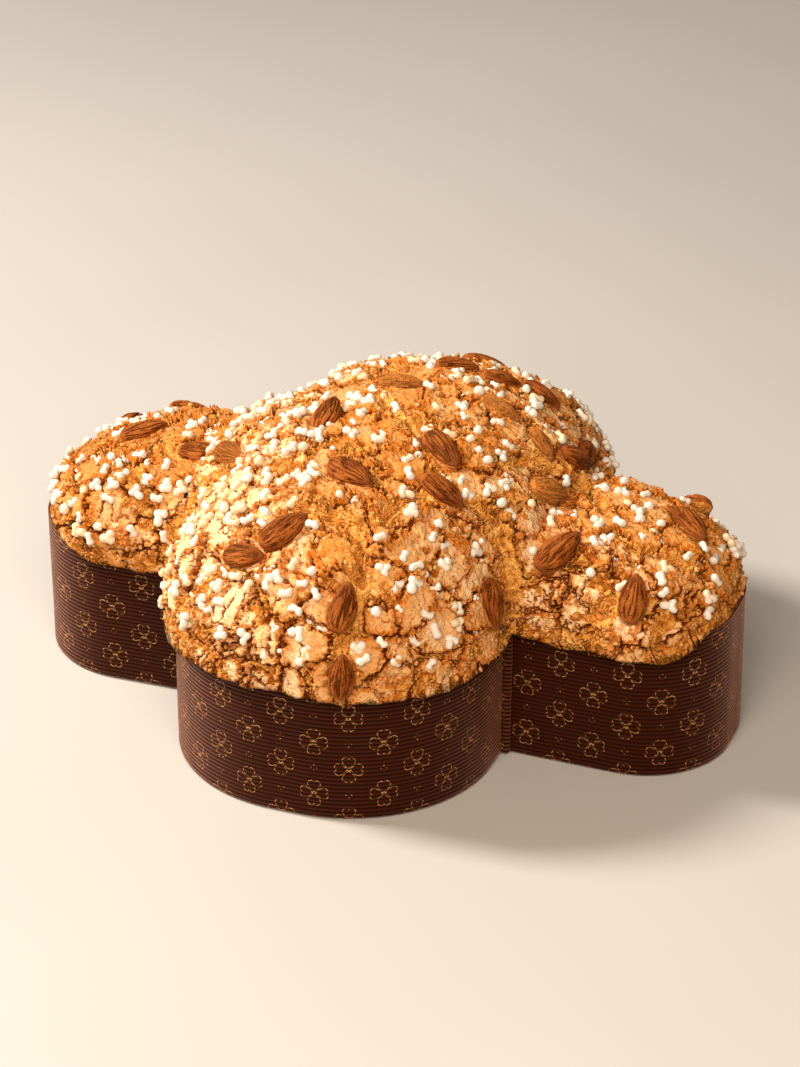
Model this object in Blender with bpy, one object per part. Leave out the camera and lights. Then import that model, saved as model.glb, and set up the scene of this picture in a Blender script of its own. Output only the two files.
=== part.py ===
"""Dove-shaped festive cake in its paper case, as closed solids at real size.

Lengths are in metres and +Z is up.  The origin is on the floor, under the
middle of the cake.  The head points to -X and the tail to +X.  The plan is
four round-ended lobes that meet at one centre.  The paper case, the dome of
the cake and the pockets under the almonds all follow from that plan.
"""
import math

import bpy
import numpy as np

# Plan of the case: direction in degrees, then lengths in metres
HEAD = {"direction": 180.0, "reach": 0.150, "half_width": 0.0425, "corner": 0.041}
TAIL = {"direction": -2.0, "reach": 0.150, "half_width": 0.0425, "corner": 0.037}
FRONT_WING = {"direction": -92.0, "reach": 0.117, "half_width": 0.066, "corner": 0.060}
BACK_WING = {"direction": 82.0, "reach": 0.113, "half_width": 0.069, "corner": 0.060}
LOBES = (HEAD, TAIL, FRONT_WING, BACK_WING)

# Paper case
WALL_HEIGHT = 0.063
PAPER = 0.0012
CASE_FLOOR = 0.0010
FOOT_CHAMFER = 0.0010
PLEAT_WIDTH = 0.0050
PLEAT_DEPTH = 0.0040
GAP = 0.0003

# Dome of the cake
TOP_HEIGHT = 0.126
SHOULDER_HEAD = 0.100
SHOULDER_TAIL = 0.097
LOAF_HALF_WIDTH = 0.074
LOAF_LENGTH = 0.110
FALL_FRONT = 0.012
FALL_BACK = 0.016
EDGE_POWER = 4.5
LOAF_POWER = 0.75
SHOULDER_BLEND = 0.030
LOBE_BLEND = 3.0
SOFT_POWER = 6.0

# Dough that swells over the rim of the paper
OVERHANG = 0.005
OVERHANG_AT_TIPS = 0.0
DROOP_FADE = (0.100, 0.122)
OVERHANG_FADE = (0.118, 0.150)
DROOP = 0.007
DROOP_WAVE = 0.0012
DROOP_WAVES_ROUND = 5
DROOP_WAVE_START = 0.8
RIM_CLEARANCE = 0.0004
LIP_ROUND = 0.0012
PLEAT_CLEARANCE = (0.0035, 0.009)
DOUGH_FOOT = 0.0015

# Fineness of the meshes
COLUMNS_PER_LOBE = 13
PLEAT_STEPS = (-3.6, -2.2, -1.0, -0.6, 0.0, 0.6, 1.0, 2.2, 3.6)
CRUST_RINGS = 12
FINE_ANGLES = 3600
SLOPE_STEP = 0.01
ALMOND_RINGS = 5
ALMOND_SIDES = 8
SHARP_EDGE_DEGREES = 40.0

# Almonds: width and thickness as shares of the length, and how much one end
# narrows
ALMOND_WIDTH = 0.56
ALMOND_THICKNESS = 0.40
ALMOND_TAPER = 0.20

# Where each almond lies: angle round the centre in degrees, share of the way
# from the centre to the rim, heading in degrees, length and sink in
# millimetres, and lean in degrees.  The last ten are on the back.
ALMONDS = (
    (178, 0.74, 40, 21.0, 0.6, 0),
    (-169, 0.54, 1, 20.5, 0.4, 0),
    (-154, 0.60, -36, 19.0, 2.0, 0),
    (-147, 0.27, 84, 21.0, 0.2, 22),
    (-87, 0.45, -25, 22.0, 0.5, 0),
    (-98, 0.73, 46, 22.0, 0.3, 0),
    (-105, 0.83, -9, 19.0, 0.8, 0),
    (-80, 0.90, 85, 20.5, 0.4, 0),
    (-79.5, 0.992, 93, 18.5, 0.7, 0),
    (97, 0.20, 6, 19.5, 1.0, 0),
    (79, 0.47, 20, 18.5, 0.2, 0),
    (61, 0.53, 24, 17.5, 1.0, 0),
    (51, 0.66, -4, 19.0, 0.2, 0),
    (33, 0.46, -10, 18.5, 1.2, 0),
    (-37, 0.40, -40, 22.5, 0.2, 0),
    (-50, 0.58, -9, 20.5, 0.2, 0),
    (16, 0.45, -40, 17.5, 1.6, 0),
    (20, 0.60, 57, 20.0, 0.6, 0),
    (-4, 0.47, 58, 22.0, 1.4, 0),
    (-24, 0.72, 53, 23.0, 0.2, 0),
    (-44, 0.95, -50, 20.5, 0.2, 0),
    (-21.5, 0.93, 92, 20.0, 0.0, 0),
    (4, 0.84, -45, 21.5, 0.2, 0),
    (115, 0.85, 60, 21.0, 0.5, 0),
    (100, 0.90, 160, 20.0, 0.6, 0),
    (82, 0.75, 20, 21.5, 0.3, 0),
    (80, 0.95, 110, 20.5, 0.5, 0),
    (66, 0.93, 140, 22.0, 0.4, 0),
    (141, 0.80, 45, 20.0, 0.8, 0),
    (159, 0.86, 10, 21.0, 0.4, 0),
    (166, 0.93, 80, 20.0, 0.6, 0),
    (18, 0.93, 150, 21.0, 0.5, 0),
    (34, 0.85, 100, 20.0, 0.8, 0),
)

CRUST_COLOUR = (0.60, 0.33, 0.12, 1.0)
ALMOND_COLOUR = (0.27, 0.09, 0.03, 1.0)
PAPER_COLOUR = (0.045, 0.018, 0.012, 1.0)


def clear_scene():
    """Remove every object, so that the file holds this model alone."""
    for item in list(bpy.data.objects):
        bpy.data.objects.remove(item, do_unlink=True)


def smoothstep(value, low, high):
    """Rise smoothly from 0 at low to 1 at high."""
    share = np.clip((value - low) / (high - low), 0.0, 1.0)
    return share * share * (3.0 - 2.0 * share)


def lobe_radius(angle, lobe, grow):
    """Distance from the centre to the edge of one lobe, along each angle.

    A lobe is a straight bar with a rounded end.  Its edge is nearest of the
    bar's side, its end, and the circle in its corner.  grow moves the edge
    outwards, evenly.
    """
    turn = angle - math.radians(lobe["direction"])
    along = np.maximum(np.cos(turn), 1e-9)
    aside = np.maximum(np.abs(np.sin(turn)), 1e-9)
    reach = lobe["reach"] + grow
    half = lobe["half_width"] + grow
    corner = lobe["corner"] + grow
    straight = np.minimum(half / aside, reach / along)
    corner_x = reach - corner
    corner_y = half - corner
    middle = along * corner_x + aside * corner_y
    inside = middle**2 - (corner_x**2 + corner_y**2 - corner**2)
    rounded = middle + np.sqrt(np.maximum(inside, 0.0))
    at_corner = (straight * along > corner_x) & (straight * aside > corner_y)
    return np.where(np.cos(turn) > 0.0, np.where(at_corner, rounded, straight), 0.0)


def plan_radius(angle, grow=0.0):
    """Edge of the whole plan: the lobe that reaches furthest along each angle."""
    return np.max([lobe_radius(angle, lobe, grow) for lobe in LOBES], axis=0)


def soft_radius(angle, grow=0.0):
    """Edge of the plan with the inner corners between the lobes filled out."""
    total = sum(lobe_radius(angle, lobe, grow) ** SOFT_POWER for lobe in LOBES)
    return total ** (1.0 / SOFT_POWER)


def corner_angles():
    """Angles of the four inner corners, where one lobe hands over to the next."""
    angle = np.linspace(-math.pi, math.pi, FINE_ANGLES, endpoint=False)
    leader = np.argmax([lobe_radius(angle, lobe, 0.0) for lobe in LOBES], axis=0)
    changes = np.nonzero(leader != np.roll(leader, 1))[0]
    half_step = math.pi / FINE_ANGLES
    corners = angle[changes] - half_step
    # the head lies across -180 degrees, where the lobe does not change
    return np.sort(corners[np.abs(corners) < math.pi - 2.0 * half_step])


def plan_centre():
    """Middle of the plan's bounding box."""
    angle = np.linspace(-math.pi, math.pi, FINE_ANGLES, endpoint=False)
    radius = plan_radius(angle)
    across = radius * np.cos(angle)
    deep = radius * np.sin(angle)
    return (across.min() + across.max()) / 2.0, (deep.min() + deep.max()) / 2.0


CORNERS = corner_angles()
CENTRE_X, CENTRE_Y = plan_centre()


def column_angles():
    """Angles of the mesh columns: even along each lobe, and close at each pleat."""
    angles = []
    for index, corner in enumerate(CORNERS):
        radius = plan_radius(np.array([corner]))[0]
        angles.extend(corner + step * PLEAT_WIDTH / 2.0 / radius for step in PLEAT_STEPS)
        following = CORNERS[(index + 1) % len(CORNERS)]
        if following < corner:
            following += 2.0 * math.pi
        margin = PLEAT_STEPS[-1] * PLEAT_WIDTH / 2.0 / radius
        fine = np.linspace(corner + margin, following - margin, FINE_ANGLES // 4)
        edge = plan_radius(fine)
        run = np.hypot(np.diff(edge * np.cos(fine)), np.diff(edge * np.sin(fine)))
        length = np.concatenate(([0.0], np.cumsum(run)))
        marks = np.linspace(0.0, length[-1], COLUMNS_PER_LOBE + 2)[1:-1]
        angles.extend(np.interp(marks, length, fine))
    return np.array(angles)


def corner_distance(angle):
    """Distance along the wall from each angle to the nearest inner corner."""
    turn = np.abs((angle[..., None] - CORNERS + math.pi) % (2.0 * math.pi) - math.pi)
    return turn.min(axis=-1) * plan_radius(angle)


def overhang(angle):
    """How far the crust stands outside the paper: less at head and tail."""
    from_middle = np.abs(plan_radius(angle) * np.cos(angle))
    towards_tip = smoothstep(from_middle, *OVERHANG_FADE)
    return OVERHANG + (OVERHANG_AT_TIPS - OVERHANG) * towards_tip


def lip_height(angle):
    """Height of the crust's lower edge, which hangs outside the rim."""
    from_middle = np.abs(plan_radius(angle) * np.cos(angle))
    hanging = 1.0 - smoothstep(from_middle, *DROOP_FADE)
    hanging = hanging * smoothstep(corner_distance(angle), *PLEAT_CLEARANCE)
    droop = DROOP + DROOP_WAVE * np.sin(DROOP_WAVES_ROUND * angle + DROOP_WAVE_START)
    return WALL_HEIGHT + RIM_CLEARANCE - (droop + RIM_CLEARANCE) * hanging


def dome_height(x, y):
    """Height of the dome before its edge is rounded off.

    A high loaf runs from wing to wing, arched across by one minus a square,
    raised to a power.  It falls gently towards both wing tips, and stands on
    lower shoulders that carry the head and the tail.
    """
    lean = np.where(y > 0.0, BACK_WING["direction"] - 90.0, FRONT_WING["direction"] + 90.0)
    middle = -np.abs(y) * np.tan(np.radians(lean)) * np.where(y > 0.0, 1.0, -1.0)
    arch = np.clip(1.0 - ((x - middle) / LOAF_HALF_WIDTH) ** 2, 0.0, 1.0) ** LOAF_POWER
    tail_share = 0.5 + 0.5 * np.tanh(x / SHOULDER_BLEND)
    shoulder = SHOULDER_HEAD + (SHOULDER_TAIL - SHOULDER_HEAD) * tail_share
    fall = np.where(y > 0.0, FALL_BACK, FALL_FRONT) * (y / LOAF_LENGTH) ** 2
    return shoulder + (TOP_HEIGHT - fall - shoulder) * arch


def crust_point(angle, share):
    """A point of the crust, by its angle and its share of the way to the rim.

    Near the top the plan's inner corners are filled out, and they sharpen
    towards the rim.  The height follows the dome, times an edge curve that
    is flat in the middle and upright at the rim.
    """
    grow = overhang(angle)
    soft = soft_radius(angle, grow)
    sharp = plan_radius(angle, grow)
    reach = soft + (sharp - soft) * share**LOBE_BLEND
    x = share * reach * np.cos(angle)
    y = share * reach * np.sin(angle)
    rim = lip_height(angle) + LIP_ROUND
    edge = np.sqrt(np.clip(1.0 - share**EDGE_POWER, 0.0, 1.0))
    z = rim + (dome_height(x, y) - rim) * edge
    return np.stack([x - CENTRE_X, y - CENTRE_Y, z], axis=-1)


def ring(angle, grow, height):
    """Points of one level ring round the plan."""
    radius = plan_radius(angle, grow)
    x = radius * np.cos(angle) - CENTRE_X
    y = radius * np.sin(angle) - CENTRE_Y
    return np.stack([x, y, height + 0.0 * angle], axis=-1)


def closed_mesh(name, rings, bottom, top):
    """Join rings into a closed skin, with a fan to a point at either end."""
    count = len(rings[0])
    points = [bottom]
    for level in rings:
        points.extend(tuple(point) for point in level)
    points.append(top)
    last = len(points) - 1
    start = last - count
    faces = []
    for column in range(count):
        following = (column + 1) % count
        faces.append((0, 1 + following, 1 + column))
        for level in range(len(rings) - 1):
            low = 1 + level * count
            high = low + count
            faces.append((low + column, low + following, high + following, high + column))
        faces.append((start + column, start + following, last))
    mesh = bpy.data.meshes.new(name)
    mesh.from_pydata(points, [], faces)
    mesh.update()
    return mesh


def add_object(name, mesh, material):
    """Put a mesh in the scene as one named piece, shaded smooth."""
    mesh.materials.append(material)
    mesh.shade_smooth()
    mesh.set_sharp_from_angle(angle=math.radians(SHARP_EDGE_DEGREES))
    item = bpy.data.objects.new(name, mesh)
    bpy.context.scene.collection.objects.link(item)
    return item


def plain_material(name, colour, roughness):
    """A Principled material of one colour."""
    material = bpy.data.materials.new(name)
    material.use_nodes = True
    shader = material.node_tree.nodes["Principled BSDF"]
    shader.inputs["Base Color"].default_value = colour
    shader.inputs["Roughness"].default_value = roughness
    shader.inputs["Metallic"].default_value = 0.0
    return material


def make_case(angle):
    """The paper case: a flat floor, an upright wall and a fold at each corner."""
    foot = ring(angle, -FOOT_CHAMFER, 0.0)
    low = ring(angle, 0.0, FOOT_CHAMFER)
    rim = ring(angle, 0.0, WALL_HEIGHT)
    turn = (angle[:, None] - CORNERS + math.pi) % (2.0 * math.pi) - math.pi
    nearest = np.abs(turn).argmin(axis=1)
    from_corner = np.abs(turn).min(axis=1) * plan_radius(angle) / (PLEAT_WIDTH / 2.0)
    bulge = PLEAT_DEPTH * np.sqrt(np.clip(1.0 - from_corner**2, 0.0, 1.0))
    outward = np.stack([np.cos(CORNERS[nearest]), np.sin(CORNERS[nearest]), 0.0 * angle], axis=-1)
    for level in (foot, low, rim):
        level += bulge[:, None] * outward
    inner_rim = ring(angle, -PAPER, WALL_HEIGHT)
    inner_foot = ring(angle, -PAPER, CASE_FLOOR)
    middle = (-CENTRE_X, -CENTRE_Y)
    levels = [foot, low, rim, inner_rim, inner_foot]
    mesh = closed_mesh("paper_case", levels, (*middle, 0.0), (*middle, CASE_FLOOR))
    return add_object("paper_case", mesh, plain_material("paper_case", PAPER_COLOUR, 0.6))


def make_cake(angle):
    """The cake: it fills the case, swells over the rim and rises to a dome."""
    over = overhang(angle)
    base = CASE_FLOOR + GAP
    inside = -(PAPER + GAP)
    hanging = lip_height(angle)
    clear = WALL_HEIGHT + RIM_CLEARANCE
    lip_inside = np.clip(over - 2.0 * GAP, inside + GAP, GAP)
    levels = [
        ring(angle, inside - DOUGH_FOOT, base),
        ring(angle, inside, base + DOUGH_FOOT),
        ring(angle, inside, clear),
        ring(angle, lip_inside, clear),
        ring(angle, lip_inside + GAP, hanging),
    ]
    for step in range(CRUST_RINGS):
        share = math.cos(step / CRUST_RINGS * math.pi / 2.0)
        levels.append(crust_point(angle, share))
    summit = crust_point(np.array([0.0]), 0.0)[0]
    mesh = closed_mesh("cake", levels, (-CENTRE_X, -CENTRE_Y, base), tuple(summit))
    return add_object("cake", mesh, plain_material("crust", CRUST_COLOUR, 0.75))


def almond_shape(length, grow=0.0):
    """Points of one almond along X, flat side down Z, by ring and side.

    Each ring is an ellipse whose size follows a sine along the length, and
    it narrows towards the pointed end at +X.
    """
    half = length / 2.0 + grow
    wide = length * ALMOND_WIDTH / 2.0 + grow
    thick = length * ALMOND_THICKNESS / 2.0 + grow
    station = np.linspace(0.0, math.pi, ALMOND_RINGS + 2)[1:-1]
    size = np.sin(station) * (1.0 - ALMOND_TAPER * -np.cos(station))
    side = np.linspace(0.0, 2.0 * math.pi, ALMOND_SIDES, endpoint=False)
    rings = []
    for place, scale in zip(-np.cos(station), size):
        x = half * place + 0.0 * side
        rings.append(np.stack([x, wide * scale * np.cos(side), thick * scale * np.sin(side)], axis=-1))
    return rings, (-half, 0.0, 0.0), (half, 0.0, 0.0)


def almond_frame(place):
    """Turn and position of one almond, lying along its heading on the crust."""
    angle, share, heading, _length, sink, lean = place
    angle = math.radians(angle)
    around = crust_point(np.array([angle - SLOPE_STEP, angle + SLOPE_STEP]), share)
    further = min(share + SLOPE_STEP, 1.0 - SLOPE_STEP / 10.0)
    outwards = crust_point(np.array([angle]), np.array([share - SLOPE_STEP, further]))
    normal = np.cross(outwards[1] - outwards[0], around[1] - around[0])
    normal = normal / np.linalg.norm(normal)
    direction = np.array([math.cos(math.radians(heading)), math.sin(math.radians(heading)), 0.0])
    direction[2] = -(normal @ direction) / normal[2]
    direction = direction / np.linalg.norm(direction)
    tilt = math.radians(lean)
    along = direction * math.cos(tilt) + normal * math.sin(tilt)
    up = normal * math.cos(tilt) - direction * math.sin(tilt)
    aside = np.cross(up, along)
    spot = crust_point(np.array([angle]), share)[0]
    return np.stack([along, aside, up], axis=1), spot - normal * sink * 0.001


def placed_almond(name, place, grow=0.0):
    """Mesh of one almond, turned and moved to its place on the crust."""
    turn, spot = almond_frame(place)
    rings, blunt, point = almond_shape(place[3] * 0.001, grow)
    rings = [level @ turn.T + spot for level in rings]
    blunt = turn @ np.array(blunt) + spot
    point = turn @ np.array(point) + spot
    return closed_mesh(name, rings, tuple(blunt), tuple(point))


def make_almonds():
    """Every almond as a piece of its own."""
    skin = plain_material("almond", ALMOND_COLOUR, 0.5)
    for number, place in enumerate(ALMONDS, start=1):
        name = f"almond_{number:02d}"
        add_object(name, placed_almond(name, place), skin)


def cut_pockets(cake):
    """Hollow the crust under each almond, with a narrow gap all round."""
    for number, place in enumerate(ALMONDS, start=1):
        name = f"pocket_{number:02d}"
        pocket = bpy.data.objects.new(name, placed_almond(name, place, GAP))
        pocket.hide_render = True
        pocket.display_type = "WIRE"
        bpy.context.scene.collection.objects.link(pocket)
        cut = cake.modifiers.new(name, "BOOLEAN")
        cut.operation = "DIFFERENCE"
        cut.solver = "EXACT"
        cut.object = pocket


def main():
    clear_scene()
    angle = column_angles()
    make_case(angle)
    cake = make_cake(angle)
    make_almonds()
    cut_pockets(cake)


main()
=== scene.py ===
"""Looks of a dove-shaped festive cake in its paper case.

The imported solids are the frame.  Every piece here is a surface worked out with
numpy, in millimetres, and put into a mesh in metres.  The head points to -X,
the tail to +X, and the wings to -Y at the front and +Y at the back.
"""

import functools
import math

import bpy
import numpy as np
from bpy.props import FloatProperty, FloatVectorProperty, IntProperty, PointerProperty
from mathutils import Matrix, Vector


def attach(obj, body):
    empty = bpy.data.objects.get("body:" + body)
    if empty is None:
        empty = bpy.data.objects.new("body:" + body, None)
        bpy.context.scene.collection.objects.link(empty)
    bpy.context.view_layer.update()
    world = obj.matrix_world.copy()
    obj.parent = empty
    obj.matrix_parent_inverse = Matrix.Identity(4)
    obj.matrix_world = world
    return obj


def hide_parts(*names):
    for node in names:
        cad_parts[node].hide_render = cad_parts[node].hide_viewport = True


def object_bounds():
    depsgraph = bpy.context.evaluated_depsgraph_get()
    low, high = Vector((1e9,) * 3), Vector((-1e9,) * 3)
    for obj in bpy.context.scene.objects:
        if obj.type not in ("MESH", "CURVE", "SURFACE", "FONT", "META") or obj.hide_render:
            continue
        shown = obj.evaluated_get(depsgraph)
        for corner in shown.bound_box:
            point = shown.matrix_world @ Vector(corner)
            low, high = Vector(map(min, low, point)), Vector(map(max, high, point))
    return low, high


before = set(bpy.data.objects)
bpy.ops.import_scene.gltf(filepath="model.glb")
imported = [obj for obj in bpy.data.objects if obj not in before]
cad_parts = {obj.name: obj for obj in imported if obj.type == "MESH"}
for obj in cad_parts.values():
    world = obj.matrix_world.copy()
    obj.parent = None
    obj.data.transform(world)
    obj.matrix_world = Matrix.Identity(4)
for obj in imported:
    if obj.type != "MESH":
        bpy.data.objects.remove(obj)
CAD_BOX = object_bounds()

bl_info = {
    "name": "Festive Dove Cake",
    "version": (1, 0, 0),
    "blender": (4, 5, 0),
    "location": "3D View > Sidebar > Cake",
    "description": "Builds the crust, almonds, sugar and paper case of a dove-shaped cake",
    "category": "Add Mesh",
}

MM = 0.001

# Across the view, seen from the camera
CAMERA_RIGHT = np.array([0.943, 0.334, 0.0])

# Almonds that glaze covers, by number, and how much of it
GLAZED_ALMONDS = {3: 0.35, 10: 0.6, 14: 0.65, 17: 0.5, 19: 0.85}

# Plan of the case, as in the solids: direction in degrees, then millimetres
HEAD = (180.0, 150.0, 42.5, 41.0)
TAIL = (-2.0, 150.0, 42.5, 37.0)
FRONT_WING = (-92.0, 117.0, 66.0, 60.0)
BACK_WING = (82.0, 113.0, 69.0, 60.0)
LOBES = (HEAD, TAIL, FRONT_WING, BACK_WING)
LOBE_NAMES = ("tail", "back_wing", "head", "front_wing")

# Dome of the cake, as in the solids
TOP_HEIGHT = 126.0
SHOULDER_HEAD = 100.0
SHOULDER_TAIL = 97.0
LOAF_HALF_WIDTH = 74.0
LOAF_LENGTH = 110.0
FALL_FRONT = 12.0
FALL_BACK = 16.0
EDGE_POWER = 4.5
LOAF_POWER = 0.75
SHOULDER_BLEND = 30.0
LOBE_BLEND = 3.0
SOFT_POWER = 6.0
FINE_ANGLES = 3600

# Splits torn open in the crust: width, depth, then points of the plan
SPLITS = (
    (5.0, 5.0, ((-10, -76), (10, -78), (21, -73), (28, -61), (33, -49), (42, -43), (56, -36))),
    (4.0, 4.0, ((56, -36), (60, -26), (66, -19))),
    (5.0, 4.0, ((52, -9), (59, 4), (69, 13))),
    (6.0, 7.0, ((56, -34), (62, -41), (67, -45), (70, -50))),
    (5.5, 5.0, ((13, -79), (19, -86), (22, -97), (23, -108), (20, -118))),
    (6.0, 4.0, ((-5, 7), (4, -3), (13, -10), (21, -15))),
    (3.5, 3.0, ((-7, -42), (0, -35))),
    (5.0, 4.0, ((-98, -4), (-92, -11), (-86, -19))),
    (5.0, 4.5, ((-102, -28), (-95, -37), (-88, -43))),
    (5.0, 6.0, ((-62, -38), (-70, -41), (-77, -44), (-80, -48))),
    (3.5, 5.0, ((110, -23), (120, -18), (132, -16))),
    (6.0, 4.0, ((112, -44), (104, -48), (97, -50))),
    (4.0, 4.0, ((76, 22), (81, 11), (92, 3))),
    (3.0, 3.0, ((-53, -98), (-42, -101), (-31, -100))),
    (5.0, 5.0, ((74, 34), (82, 40), (90, 44))),
    (5.0, 5.0, ((-60, 38), (-70, 42), (-80, 45))),
    (5.0, 4.0, ((-30, 62), (-8, 70), (16, 66), (38, 74))),
    (4.0, 4.0, ((4, 80), (10, 95), (14, 108))),
)


def whole_numbers(cell, seed):
    """Mix three whole numbers for each lattice point into one, by products and shifts."""
    mixed = cell[..., 0].astype(np.uint32) * np.uint32(0x8DA6B343)
    mixed ^= cell[..., 1].astype(np.uint32) * np.uint32(0xD8163841)
    mixed ^= cell[..., 2].astype(np.uint32) * np.uint32(0xCB1AB31F)
    mixed ^= np.uint32((seed * 0x9E3779B1) & 0xFFFFFFFF)
    mixed ^= mixed >> np.uint32(15)
    mixed *= np.uint32(0x2C1B3C6D)
    mixed ^= mixed >> np.uint32(12)
    mixed *= np.uint32(0x297A2D39)
    mixed ^= mixed >> np.uint32(15)
    return mixed


GRADIENTS = np.array(
    [(x, y, z) for x in (-1, 0, 1) for y in (-1, 0, 1) for z in (-1, 0, 1)
     if abs(x) + abs(y) + abs(z) == 2] + [(1, 1, 0), (-1, 1, 0), (0, -1, 1), (0, -1, -1)],
    dtype=np.float32,
)


def soft_noise(points, size, seed):
    """Gradient noise from about -1 to 1, with lumps about as wide as size.

    Each corner of a lattice cell has a slope.  The value is the mean of the
    eight slopes' heights, weighted by 6t^5 - 15t^4 + 10t^3 along each axis.
    """
    place = (points / size).astype(np.float32)
    cell = np.floor(place).astype(np.int32)
    inside = place - cell
    weight = inside**3 * (inside * (inside * 6.0 - 15.0) + 10.0)
    total = np.zeros(points.shape[:-1], np.float32)
    for corner in np.ndindex(2, 2, 2):
        corner = np.array(corner, np.int32)
        slope = GRADIENTS[whole_numbers(cell + corner, seed) & np.uint32(15)]
        height = ((inside - corner) * slope).sum(-1)
        share = np.where(corner == 1, weight, 1.0 - weight).prod(-1)
        total += share * height
    return total


def rough_noise(points, size, seed, octaves=3):
    """Soft noise at size, half of size and so on, each half as high as the last."""
    return sum(
        soft_noise(points, size / 2.0**step, seed + step) / 2.0**step
        for step in range(octaves)
    )


def scattered_cells(points, size, seed):
    """Distances to the nearest and the next of scattered points, and the nearest's number.

    Each lattice cell of the given size holds one point at a fixed random place.
    """
    place = (points / size).astype(np.float32)
    cell = np.floor(place).astype(np.int32)
    inside = place - cell
    first = np.full(points.shape[:-1], 9.0, np.float32)
    second = first.copy()
    owner = np.zeros(points.shape[:-1], np.uint32)
    for step in np.ndindex(3, 3, 3):
        step = np.array(step, np.int32) - 1
        number = whole_numbers(cell + step, seed)
        seat = np.stack([(number >> np.uint32(s)) & np.uint32(1023) for s in (0, 10, 20)], -1)
        apart = step + 0.05 + 0.9 * (seat / np.float32(1023.0)) - inside
        distance = (apart**2).sum(-1)
        closer = distance < first
        second = np.where(closer, first, np.minimum(second, distance))
        owner = np.where(closer, number, owner)
        first = np.where(closer, distance, first)
    return np.sqrt(first) * size, np.sqrt(second) * size, owner


def smoothstep(value, low, high):
    """Rise smoothly from 0 at low to 1 at high."""
    share = np.clip((value - low) / (high - low), 0.0, 1.0)
    return share * share * (3.0 - 2.0 * share)


def running_total(steps):
    """Sums of the steps so far, from zero."""
    return np.concatenate(([0.0], np.cumsum(steps)))


def points_of(x, y, z):
    """Points from three coordinates, each repeated to the widest of them."""
    return np.stack(np.broadcast_arrays(x, y, z), -1)


def unit(vectors):
    """The same directions with a length of one."""
    return vectors / np.linalg.norm(vectors, axis=-1, keepdims=True)


def round_angles(count):
    """Even angles once round, in radians."""
    return np.linspace(0.0, 2.0 * math.pi, count, endpoint=False)


def lobe_radius(angle, lobe, grow):
    """Edge of one lobe along each angle: the nearest of its side, end and round corner."""
    direction, reach, half, corner = lobe
    turn = angle - math.radians(direction)
    along = np.maximum(np.cos(turn), 1e-9)
    aside = np.maximum(np.abs(np.sin(turn)), 1e-9)
    reach, half, corner = reach + grow, half + grow, corner + grow
    straight = np.minimum(half / aside, reach / along)
    corner_x, corner_y = reach - corner, half - corner
    middle = along * corner_x + aside * corner_y
    inside = middle**2 - (corner_x**2 + corner_y**2 - corner**2)
    rounded = middle + np.sqrt(np.maximum(inside, 0.0))
    at_corner = (straight * along > corner_x) & (straight * aside > corner_y)
    return np.where(np.cos(turn) > 0.0, np.where(at_corner, rounded, straight), 0.0)


def plan_radius(angle, grow=0.0):
    """Edge of the whole plan: the lobe that reaches furthest along each angle."""
    return np.max([lobe_radius(angle, lobe, grow) for lobe in LOBES], axis=0)


def soft_radius(angle, grow=0.0):
    """Edge of the plan with the inner corners between the lobes filled out."""
    return sum(lobe_radius(angle, lobe, grow) ** SOFT_POWER for lobe in LOBES) ** (1.0 / SOFT_POWER)


def plan_facts():
    """Angles of the four inner corners, and the middle of the plan."""
    angle = np.linspace(-math.pi, math.pi, FINE_ANGLES, endpoint=False)
    leader = np.argmax([lobe_radius(angle, lobe, 0.0) for lobe in LOBES], axis=0)
    half_step = math.pi / FINE_ANGLES
    corners = angle[np.nonzero(leader != np.roll(leader, 1))[0]] - half_step
    corners = np.sort(corners[np.abs(corners) < math.pi - 2.0 * half_step])
    radius = plan_radius(angle)
    across, deep = radius * np.cos(angle), radius * np.sin(angle)
    middle = np.array([across.min() + across.max(), deep.min() + deep.max()]) / 2.0
    return corners, middle


CORNERS, MIDDLE = plan_facts()


# Relief and colour fields of the crust, in millimetres
PLATE_SIZE = 17.0
FLAKE_SIZE = 7.0
NODULE_SIZE = 3.5
BEAD_SIZE = 1.5
GRAIN_SIZE = 1.2
CRUST_CELLS = 300
OVERHANG = 5.0
TAIL_RECESS = -1.0
HEAD_RECESS = -0.5
TAIL_TIP_START = 130.0
HEAD_TIP_START = 118.0
TIP = 151.0
LIP_ROUND = 1.2
WALL_HEIGHT = 63.0
RIM_CLEARANCE = 0.4
DROOP = 7.0
TAIL_FRONT_DROOP = 9.0
CRUST_FOOT = 40.0
SPLIT_STEP = 1.2
BOX_MARGIN = 0.2

# Almonds and sugar: rings and sides of the meshes, and the sugar's balls
ALMOND_MESH = (42, 92)
SUGAR_MESH = (7, 8)
CRUMB_MESH = (3, 6)
PEARL_SPACING = 5.3
BALL_SHARES = (0.16, 0.38, 0.46)
BALL_RADIUS = (1.7, 2.2)


def outline_steps(angle):
    """Length of the plan's edge between each angle and the next."""
    edge = plan_radius(angle)
    return np.hypot(np.diff(edge * np.cos(angle)), np.diff(edge * np.sin(angle)))


def from_middle(angle):
    """Distance along X from the middle to the edge of the plan."""
    return np.abs(plan_radius(angle) * np.cos(angle))


def corner_turns(angle):
    """Size of the turn from each angle to each inner corner, at most half way round."""
    return np.abs((angle[..., None] - CORNERS + math.pi) % (2.0 * math.pi) - math.pi)


def corner_distance(angle):
    """Distance along the wall from each angle to the nearest inner corner."""
    return corner_turns(angle).min(axis=-1) * plan_radius(angle)


def overhang(angle):
    """How far the crust stands outside the paper.  At the tips it stays inside the rim."""
    on_tail = np.cos(angle) > 0.0
    recess = np.where(on_tail, TAIL_RECESS, HEAD_RECESS)
    start = np.where(on_tail, TAIL_TIP_START, HEAD_TIP_START)
    way = (from_middle(angle) - start) / (TIP - start)
    return OVERHANG + (recess - OVERHANG) * smoothstep(way, 0.0, 1.0)


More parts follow.
